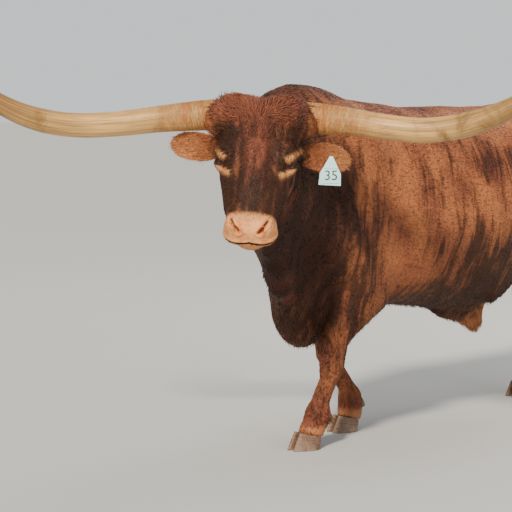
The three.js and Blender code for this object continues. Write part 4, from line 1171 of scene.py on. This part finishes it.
def tag_frame():
    """The tag's hole in the ear, and its directions: right, up and out of its face."""
    root = from_head(*EAR_PLACE)
    out = head_direction(*EAR_OUT["left"])
    front = head_direction(0.28, 0.42, 0.85)
    front = (front - out * front.dot(out)).normalized()
    hole = root + out * EAR_LENGTH * TAG_SHARE + front * 0.002
    face = (FACING + Vector((0, 0, 0.12))).normalized()
    up = (Vector((0, 0, 1)) - face * face.z).normalized()
    return hole, up.cross(face), up, face


def make_digits():
    """The tag's plain number and the fine lines above and below it, as one mesh."""
    hole, right, up, face = tag_frame()
    digits = primitive(bpy.ops.object.text_add, "ear_tag_number")
    text = digits.data
    text.body = settings().colours.tag_mark
    text.size = NUMBER_SIZE
    text.align_x = "CENTER"
    text.align_y = "CENTER"
    text.extrude = 0.0003
    text.offset = 0.0002
    bpy.ops.object.convert(target="MESH")
    lines = []
    for level in LINE_LEVELS:
        line = primitive(bpy.ops.mesh.primitive_cube_add, "line", size=1)
        set_places(line, places(line) * LINE_SIZE + (0, level, 0))
        lines.append(line)
    joined(digits, *lines)
    middle = hole - up * NUMBER_DROP + face * NUMBER_FRONT
    set_places(digits, places(digits) @ np.array([right, up, face]) + np.array(middle))
    return digits


class LONGHORN_OT_tag(bpy.types.Operator):
    """Round the ear tag's edges, number it and finish its stud"""
    bl_idname = "longhorn.tag"
    bl_label = "Ear tag"

    def execute(self, context):
        colour = settings().colours.tag
        panel = copied("ear_tag_panel", ["ear_tag"])
        modify(panel, "DECIMATE", decimate_type="DISSOLVE", angle_limit=math.radians(2))
        modify(panel, "BEVEL", width=0.0007, segments=3, limit_method="ANGLE")
        bpy.ops.object.shade_smooth_by_angle(angle=math.radians(40))
        plastic = plain_material("tag plastic", (*colour,), 0.42, 0.22, 38.0)
        finish_piece(panel, plastic, "tag", "ear_tag")
        finish_piece(make_digits(), plain_material("tag ink", (0.045, 0.055, 0.06), 0.5), "tag")
        stud = frame["nodes"]["ear_tag_stud"]
        finish = plain_material("stud plastic", (0.42, 0.56, 0.56), 0.4, 0.3, 160.0)
        for slot in stud.material_slots:
            slot.material = finish
        return {"FINISHED"}


# Tufts and locks

class Surface:
    """The finished skin as triangles, with what a tuft needs at its root."""

    def __init__(self, thing):
        mesh = thing.data
        mesh.calc_loop_triangles()
        self.corners = read(mesh.loop_triangles, "vertices", 3, np.int32)
        self.points = places(thing)
        self.normals = normals_of(thing)
        loops = read(mesh.loop_triangles, "loops", 3, np.int32)
        self.uv = read(mesh.uv_layers["OFBake"].data, "uv", 2)[loops]
        self.marks = read(mesh.attributes["marks"].data, "color", 4)
        a, b, c = (self.points[self.corners[:, k]] for k in range(3))
        self.area = np.linalg.norm(np.cross(b - a, c - a), axis=1) / 2
        self.middle = (a + b + c) / 3
        self.facing = unit(np.cross(b - a, c - a))

    def scatter(self, count, weight, draw):
        """Roots spread evenly over the skin, by weight: point, normal, uv and marks."""
        share = self.area * weight
        triangle = draw.choice(len(share), count, p=share / share.sum())
        s, t = draw.random(count), draw.random(count)
        over = s + t > 1
        s[over], t[over] = 1 - s[over], 1 - t[over]
        mix = np.stack([1 - s - t, s, t], 1)[:, :, None]
        corners = self.corners[triangle]
        point = (self.points[corners] * mix).sum(1)
        normal = unit((self.normals[corners] * mix).sum(1))
        return point, normal, (self.uv[triangle] * mix).sum(1), (self.marks[corners] * mix).sum(1)


def lock_mesh(name, lines, normals, width, thick, uv, marks, tone):
    """Closed flat locks: a triangle at every point of each centre line but the last, then a tip."""
    count, length = lines.shape[:2]
    way = unit(np.gradient(lines, axis=1))
    side = unit(np.cross(way, normals))
    over = unit(np.cross(side, way))
    half = width[:, :, None] / 2
    rings = np.stack([lines - side * half, lines + side * half, lines + over * thick[:, None, None]], 2)
    body = rings[:, :-1].reshape(count, -1, 3)
    points = np.concatenate([body, lines[:, -1:]], 1)
    tip = body.shape[1]
    faces = [(0, 1, 2)]
    for ring in range(length - 2):
        low, high = 3 * ring, 3 * ring + 3
        for k in range(3):
            m = (k + 1) % 3
            faces += [(low + k, high + m, low + m), (low + k, high + k, high + m)]
    last = tip - 3
    faces += [(last + k, tip, last + (k + 1) % 3) for k in range(3)]
    faces = np.array(faces)[:, ::-1]
    each = points.shape[1]
    every = (faces[None] + (np.arange(count) * each)[:, None, None]).reshape(-1, 3)
    mesh = bpy.data.meshes.new(name)
    mesh.vertices.add(count * each)
    mesh.vertices.foreach_set("co", flat(points))
    mesh.loops.add(every.size)
    mesh.loops.foreach_set("vertex_index", flat(every, np.int32))
    mesh.polygons.add(len(every))
    mesh.polygons.foreach_set("loop_start", np.arange(0, every.size, 3, dtype=np.int32))
    mesh.update(calc_edges=True)
    along = np.concatenate([np.repeat(np.arange(length - 1), 3), [length - 1]]) / (length - 1)
    across = np.concatenate([np.tile([-0.5, 0.5, 0.0], length - 1), [0.0]])
    patch = UV_PATCH * np.stack([across, along], 1)
    unwrapped = (uv[:, None] + patch[None]).reshape(-1, 2)
    layer = mesh.uv_layers.new(name="OFBake")
    layer.data.foreach_set("uv", flat(unwrapped[every.ravel()]))
    made = placed(name, mesh)
    store(made, "marks", "FLOAT_COLOR", "color", np.repeat(marks, each, 0))
    store(made, "tone", "FLOAT", "value", np.repeat(tone, each))
    mesh.shade_smooth()
    return made


def lie_of_coat(points, normals):
    """Which way the hair lies at each place, along the skin."""
    side, along, rise = to_head(points)
    y = points[:, 1] + ORIGIN.y
    z = points[:, 2]
    sign = np.sign(side)[:, None]
    axes = np.array(SIDEWAYS), np.array(NOSE), np.array(BROW)
    trunk = np.tile([0.0, 1.0, -0.42], (len(points), 1))
    neck = np.array([-0.42, 0.72, -0.62])
    leg = np.array([0.0, 0.22, -1.0])
    lie = trunk + step(-0.25, -0.42, y)[:, None] * (neck - trunk)
    lie = lie + step(0.66, 0.50, z)[:, None] * (leg - lie)
    dock = (step(1.33, 1.36, y) * step(1.30, 1.22, z))[:, None]
    lie = lie + dock * (leg - lie)
    face = axes[1] * np.tanh((along - 0.17) / 0.03)[:, None] + axes[0] * np.tanh(side / 0.03)[:, None] * 0.5
    cheek = -axes[1] * 0.55 - axes[2] * 0.8 + axes[0] * sign * 0.1
    low = step(-0.07, -0.12, rise)[:, None] * step(0.44, 0.38, along)[:, None]
    face = face + low * (cheek - face)
    head = is_head(side, along, rise)[:, None]
    lie = np.where(head > 0.5, face, lie)
    ear = is_ear(side, along, rise) > 0.5
    out = np.where(side[:, None] > 0, np.array(head_direction(*EAR_OUT["left"])),
                   np.array(head_direction(*EAR_OUT["right"])))
    lie = np.where(ear[:, None], out, lie)
    lie = lie - normals * (lie * normals).sum(1)[:, None]
    return unit(lie)


def turned(lie, normals, angle):
    """Directions turned about the skin's normal by an angle each."""
    across = np.cross(normals, lie)
    return lie * np.cos(angle)[:, None] + across * np.sin(angle)[:, None]


def grow(name, roots, draw, length, width, lift, droop=0.0, steps=3, wander=0.18, swirl=0.25, sink=0.0016):
    """Tufts from roots: they leave the skin at a slope, bend over and follow the lie."""
    point, normal, uv, marks = roots
    lie = lie_of_coat(point, normal)
    angle = draw.normal(size=len(point)) * wander + swirl * field_noise(point, 0.12, 21)
    lie = turned(lie, normal, angle)
    t = np.linspace(0, 1, steps)[None, :, None]
    reach = length[:, None, None]
    up = lift[:, None, None] * np.sin(t * math.pi * 0.62)
    down = droop * reach * t ** 2 * np.array([0, 0, -1.0])
    lines = (point - normal * sink)[:, None] + lie[:, None] * reach * t + normal[:, None] * up + down
    widths = width[:, None] * np.array(TAPER[steps])
    tone = np.clip(0.5 + 0.22 * draw.normal(size=len(point)), 0, 1)
    marks = marks * (1, 1, 1, 0)
    normals = np.repeat(normal[:, None], steps, 1)
    return lock_mesh(name, lines, normals, widths, width * 0.16, uv, marks, tone)


def share_out(roots, pieces):
    """Roots split into equal runs, so that each piece stays small."""
    for part in range(pieces):
        yield tuple(values[part::pieces] for values in roots)


# Coat

class Ground:
    """Where each kind of hair grows, by the middle of every triangle of the skin."""

    def __init__(self, skin):
        self.skin = skin
        self.side, self.along, self.rise = to_head(skin.middle)
        self.across = np.abs(self.side)
        self.x = skin.middle[:, 0] + ORIGIN.x
        self.y = skin.middle[:, 1] + ORIGIN.y
        self.z = skin.middle[:, 2]
        self.head = is_head(self.side, self.along, self.rise)
        self.ear = is_ear(self.side, self.along, self.rise)
        off_eye = step(0.025, 0.031, eye_distance(self.side, self.along, self.rise))
        marks = skin.marks[skin.corners].mean(1)
        self.haired = (1 - step(0.25, 0.6, marks[:, 3])) * off_eye
        self.poll = self.head * step(0.190, 0.085, self.along) * step(-0.14, -0.08, self.rise)
        self.poll *= 1 - self.ear


def length_on_body(point, base):
    """Shorter hair on the legs, longer on the neck, brisket and belly."""
    y = point[:, 1] + ORIGIN.y
    z = point[:, 2]
    length = base * (0.86 + 0.34 * step(-0.1, -0.35, y) + 0.3 * step(0.62, 0.46, z) * step(-0.4, 0.3, y))
    leg = step(0.46, 0.36, z) * (1 - step(-0.5, -0.2, y) * step(-0.1, -0.2, y))
    return length * (1 - 0.38 * leg) * (1 - 0.35 * step(0.14, 0.09, z))


class LONGHORN_OT_coat(bpy.types.Operator):
    """Cover the trunk, neck, legs and tail with short tufts"""
    bl_idname = "longhorn.coat"
    bl_label = "Body coat"

    def execute(self, context):
        values = settings().coat
        skin = Surface(bpy.data.objects["skin"])
        ground = Ground(skin)
        draw = np.random.default_rng(SEED)
        weight = ground.haired * (1 - ground.head) * (1 + 0.8 * step(0.5, 0.4, ground.z))
        weight *= step(0.055, 0.068, ground.z)
        count = values.body_tufts // THINNING
        finish = hide_material("body hair", 0.03, 0.25)
        roots = skin.scatter(count, weight, draw)
        for part, own in enumerate(share_out(roots, math.ceil(count / TUFTS_IN_PIECE))):
            base = length_on_body(own[0], values.hair_length)
            base = base * draw.uniform(0.75, 1.25, len(base))
            coat = grow(f"body_hair_{part + 1}", own, draw, base, base * 0.20, 0.0020 + base * 0.03)
            finish_piece(coat, finish, "hide")
        return {"FINISHED"}


class LONGHORN_OT_face(bpy.types.Operator):
    """Cover the face and ears with fine tufts"""
    bl_idname = "longhorn.face"
    bl_label = "Face and ear hair"

    def execute(self, context):
        values = settings().coat
        skin = Surface(bpy.data.objects["skin"])
        ground = Ground(skin)
        draw = np.random.default_rng(SEED + 1)
        finish = hide_material("face hair", 0.02, 0.25)
        bald_to_full = ground.haired * ground.head * (1 - ground.ear)
        face = skin.scatter(values.head_tufts * 7 // 10 // THINNING, bald_to_full, draw)
        for part, own in enumerate(share_out(face, 2)):
            along = to_head(own[0])[1]
            length = (0.013 - 0.005 * step(0.2, 0.45, along)) * draw.uniform(0.8, 1.3, len(along))
            lift = np.full(len(length), 0.0016)
            coat = grow(f"face_hair_{part + 1}", own, draw, length, length * 0.16, lift, sink=0.001)
            finish_piece(coat, finish, "hide")
        ears = skin.scatter(values.head_tufts // 4 // THINNING, ground.ear, draw)
        length = 0.010 * draw.uniform(0.7, 1.3, len(ears[0]))
        lift = np.full(len(length), 0.0022)
        coat = grow("ear_hair", ears, draw, length, length * 0.13, lift, sink=0.001)
        finish_piece(coat, finish, "hide")
        front = unit(np.array(head_direction(0, 0.42, 0.85)))
        inner = ground.ear * step(0.35, 0.75, skin.facing @ front) * step(0.16, 0.2, ground.across)
        rim = ground.ear * step(0.45, 0.2, np.abs(skin.facing @ front))
        fringe = skin.scatter(FRINGE_TUFTS // THINNING, inner * 0.4 + rim, draw)
        length = 0.021 * draw.uniform(0.5, 1.2, len(fringe[0]))
        lift = 0.004 + 0.004 * draw.random(len(length))
        coat = grow("ear_fringe", fringe, draw, length, length * 0.085, lift, droop=0.12, steps=5,
                    wander=0.3)
        finish_piece(coat, finish, "hide")
        return {"FINISHED"}


class LONGHORN_OT_long_hair(bpy.types.Operator):
    """Add the tousled poll, and the longer hair of sheath, brisket, jaw and fetlocks"""
    bl_idname = "longhorn.long_hair"
    bl_label = "Long hair"

    def execute(self, context):
        values = settings().coat
        skin = Surface(bpy.data.objects["skin"])
        ground = Ground(skin)
        draw = np.random.default_rng(SEED + 2)
        finish = hide_material("long hair", 0.06, 0.25)
        poll = skin.scatter(values.poll_tufts // THINNING, ground.poll, draw)
        length = values.poll_length * draw.uniform(0.45, 1.1, len(poll[0]))
        length = length * (1 - 0.68 * step(0.05, 0.165, to_head(poll[0])[1]))
        lift = 0.004 + 0.006 * draw.random(len(length))
        coat = grow("poll_hair", poll, draw, length, length * 0.11, lift, droop=0.10, steps=5,
                    wander=0.34, swirl=0.9)
        finish_piece(coat, finish, "hide")
        belly = step(0.56, 0.50, ground.z) * step(-0.3, 0.3, skin.facing[:, 2] * -1) * (1 - ground.head)
        belly *= step(0.36, 0.40, ground.z) * step(-0.5, -0.4, ground.y) * step(1.2, 1.1, ground.y)
        sheath = np.exp(-((ground.y - 0.812) / 0.035) ** 2 - (ground.x / 0.04) ** 2)
        sheath *= step(0.47, 0.43, ground.z)
        fetlock = step(0.08, 0.09, ground.z) * step(0.155, 0.135, ground.z)
        fetlock *= step(0.2, 0.7, skin.facing[:, 1])
        jaw = ground.head * step(-0.15, -0.19, ground.rise) * step(0.3, 0.7, skin.facing @ -np.array(BROW))
        jaw *= 1 - ground.ear
        for name, weight, count, size, thin, droop in (
                ("belly_hair", belly, 2600, 0.026, 0.09, 0.25),
                ("sheath_hair", sheath, 420, 0.026, 0.10, 0.4),
                ("fetlock_hair", fetlock, 900, 0.024, 0.10, 0.15),
                ("jaw_hair", jaw, 900, 0.018, 0.11, 0.15)):
            roots = skin.scatter(count // THINNING, weight, draw)
            length = size * draw.uniform(0.55, 1.2, len(roots[0]))
            lift = 0.003 + 0.1 * length
            coat = grow(name, roots, draw, length, length * thin, lift, droop=droop, steps=4)
            finish_piece(coat, finish, "hide")
        return {"FINISHED"}


# Tail switch

class LONGHORN_OT_switch(bpy.types.Operator):
    """Hang the tail switch in long flat locks"""
    bl_idname = "longhorn.switch"
    bl_label = "Tail switch"

    def execute(self, context):
        count = settings().coat.switch_locks // THINNING
        draw = np.random.default_rng(SEED + 3)
        low, high = (np.array(corner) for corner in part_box("tail_switch"))
        middle = (low + high) / 2
        top = high[2]
        share = draw.random(count) ** 0.8
        turn = draw.uniform(0, 2 * math.pi, count)
        out = np.stack([np.cos(turn), np.sin(turn), np.zeros(count)], 1)
        start = np.stack([np.full(count, middle[0]), np.full(count, middle[1]),
                          top + 0.035 - 0.20 * share], 1)
        start += out * (0.014 * (1 - 0.4 * share))[:, None]
        end_level = low[2] + 0.012 + (1 - share) * 0.05 + 0.07 * draw.random(count) ** 2
        t = np.linspace(0, 1, len(LOCK_TAPER))
        spread = 0.030 * (0.35 + 0.65 * draw.random(count))
        bulge = np.sin(math.pi * t ** 0.75)
        wave = 0.004 * np.sin(t[None] * 9 + draw.uniform(0, 6.3, count)[:, None])
        lines = np.repeat(start[:, None], len(t), 1)
        lines[:, :, 2] += (end_level - start[:, 2])[:, None] * t[None]
        lines[:, :, :2] += out[:, None, :2] * (spread[:, None] * bulge[None] + wave)[:, :, None]
        lines[:, :, :2] += (draw.normal(size=(count, 1, 2)) * 0.006) * t[None, :, None] ** 2
        normal = np.repeat(out[:, None], len(t), 1)
        size = 0.0050 * draw.uniform(0.5, 1.2, count)
        skin = Surface(bpy.data.objects["skin"])
        tail = skin.middle[:, 2] < top + 0.05
        near = np.linalg.norm(skin.middle[:, :2] - middle[:2], axis=1) < 0.05
        index = np.nonzero(tail & near)[0]
        root_uv = skin.uv[index[draw.integers(0, len(index), count)]].mean(1)
        marks = np.tile([0.62, 0.55, 0.0, 0.0], (count, 1))
        tone = np.clip(0.42 + 0.25 * draw.normal(size=count), 0, 1)
        switch = lock_mesh("tail_switch_locks", lines, normal, size[:, None] * np.array(LOCK_TAPER),
                           size * 0.3, root_uv, marks, tone)
        finish_piece(switch, hide_material("switch hair", 0.06, 0.25), "dark_hide", "tail_switch")
        return {"FINISHED"}


# Stage

class LONGHORN_OT_stage(bpy.types.Operator):
    """Add the camera, a plain floor and soft studio lights"""
    bl_idname = "longhorn.stage"
    bl_label = "Stage"

    def execute(self, context):
        across = Vector((math.sin(VIEW_TURN), math.cos(VIEW_TURN), 0))
        ahead = Vector((-math.cos(VIEW_TURN), math.sin(VIEW_TURN), 0))
        down = math.atan((PICTURE / 2 - HORIZON_ROW) / FOCAL_PIXELS)
        eye = across * VIEW_SIDE - ahead * VIEW_DISTANCE + Vector((0, 0, VIEW_HEIGHT)) - ORIGIN
        look = ahead * math.cos(down) - Vector((0, 0, 1)) * math.sin(down)
        camera = bpy.data.cameras.new("camera")
        camera.sensor_width = SENSOR
        camera.lens = FOCAL_PIXELS * SENSOR / PICTURE
        camera.clip_end = 100
        holder = placed("camera", camera)
        holder.matrix_world = Matrix.Translation(eye) @ look.to_track_quat("-Z", "Y").to_matrix().to_4x4()
        context.scene.camera = holder
        middle = Vector((0, 0, 0.8))
        towards = (eye - middle).normalized()
        values = settings().stage
        key = towards * 5.5 - across * 1.7 + Vector((0, 0, 3.6))
        add_light("key", "SUN", middle + key, middle, values.key, 0.14, (1.0, 0.91, 0.78))
        add_light("fill", "AREA", middle + towards * 5.0 + across * 5.0 + Vector((0, 0, 1.6)), middle,
                  values.fill, 4.0, (0.90, 0.95, 1.0))
        add_light("rim", "AREA", middle - towards * 4.5 + across * 2.5 + Vector((0, 0, 4.5)), middle,
                  values.fill * 1.1, 3.0, (1.0, 0.98, 0.95))
        add_floor(values.floor)
        world = bpy.data.worlds.new("studio")
        world.use_nodes = True
        background = world.node_tree.nodes["Background"]
        background.inputs["Color"].default_value = (0.90, 0.92, 0.94, 1)
        n = Nodes(world.node_tree)
        seen = n.add("ShaderNodeLightPath").outputs["Is Camera Ray"]
        n.put(background.inputs["Strength"], n.ramp(seen, 0.0, 1.0, 0.50, 0.92))
        context.scene.world = world
        return {"FINISHED"}


def add_light(name, kind, place, target, power, size, colour):
    """A soft light; size is a disk's width in metres, or the key's spread in radians."""
    light = bpy.data.lights.new(name, kind)
    light.energy = power
    light.color = colour
    if kind == "SUN":
        light.angle = size
    else:
        light.shape = "DISK"
        light.size = size
    turn = (target - place).to_track_quat("-Z", "Y").to_matrix().to_4x4()
    placed(name, light).matrix_world = Matrix.Translation(place) @ turn


def add_floor(colour):
    """A plain matt floor that reaches past the view."""
    floor = primitive(bpy.ops.mesh.primitive_plane_add, "floor", size=240)
    material, n, shader = start_material("floor")
    n.put(shader.inputs["Base Color"], colour)
    n.put(shader.inputs["Roughness"], 0.9)
    floor.data.materials.append(material)


class LONGHORN_PT_panel(bpy.types.Panel):
    """The steer's pieces in the order in which they are made"""
    bl_label = "Longhorn"
    bl_idname = "LONGHORN_PT_panel"
    bl_space_type = "VIEW_3D"
    bl_region_type = "UI"
    bl_category = "Longhorn"

    def draw(self, context):
        column = self.layout.column()
        for operator in OPERATORS:
            column.operator(operator.bl_idname)


OPERATORS = (
    LONGHORN_OT_skin, LONGHORN_OT_horns, LONGHORN_OT_eyes, LONGHORN_OT_hooves, LONGHORN_OT_tag,
    LONGHORN_OT_coat, LONGHORN_OT_face, LONGHORN_OT_long_hair, LONGHORN_OT_switch,
    LONGHORN_OT_stage)
GROUPS = (CoatSettings, ColourSettings, StageSettings, LonghornSettings)


def register():
    for kind in (*GROUPS, *OPERATORS, LONGHORN_PT_panel):
        bpy.utils.register_class(kind)
    bpy.types.Scene.longhorn = PointerProperty(type=LonghornSettings)


def unregister():
    del bpy.types.Scene.longhorn
    for kind in reversed((*GROUPS, *OPERATORS, LONGHORN_PT_panel)):
        bpy.utils.unregister_class(kind)


def main():
    register()
    for operator in OPERATORS:
        space, name = operator.bl_idname.split(".")
        getattr(getattr(bpy.ops, space), name)()


if __name__ == "__main__":
    main()
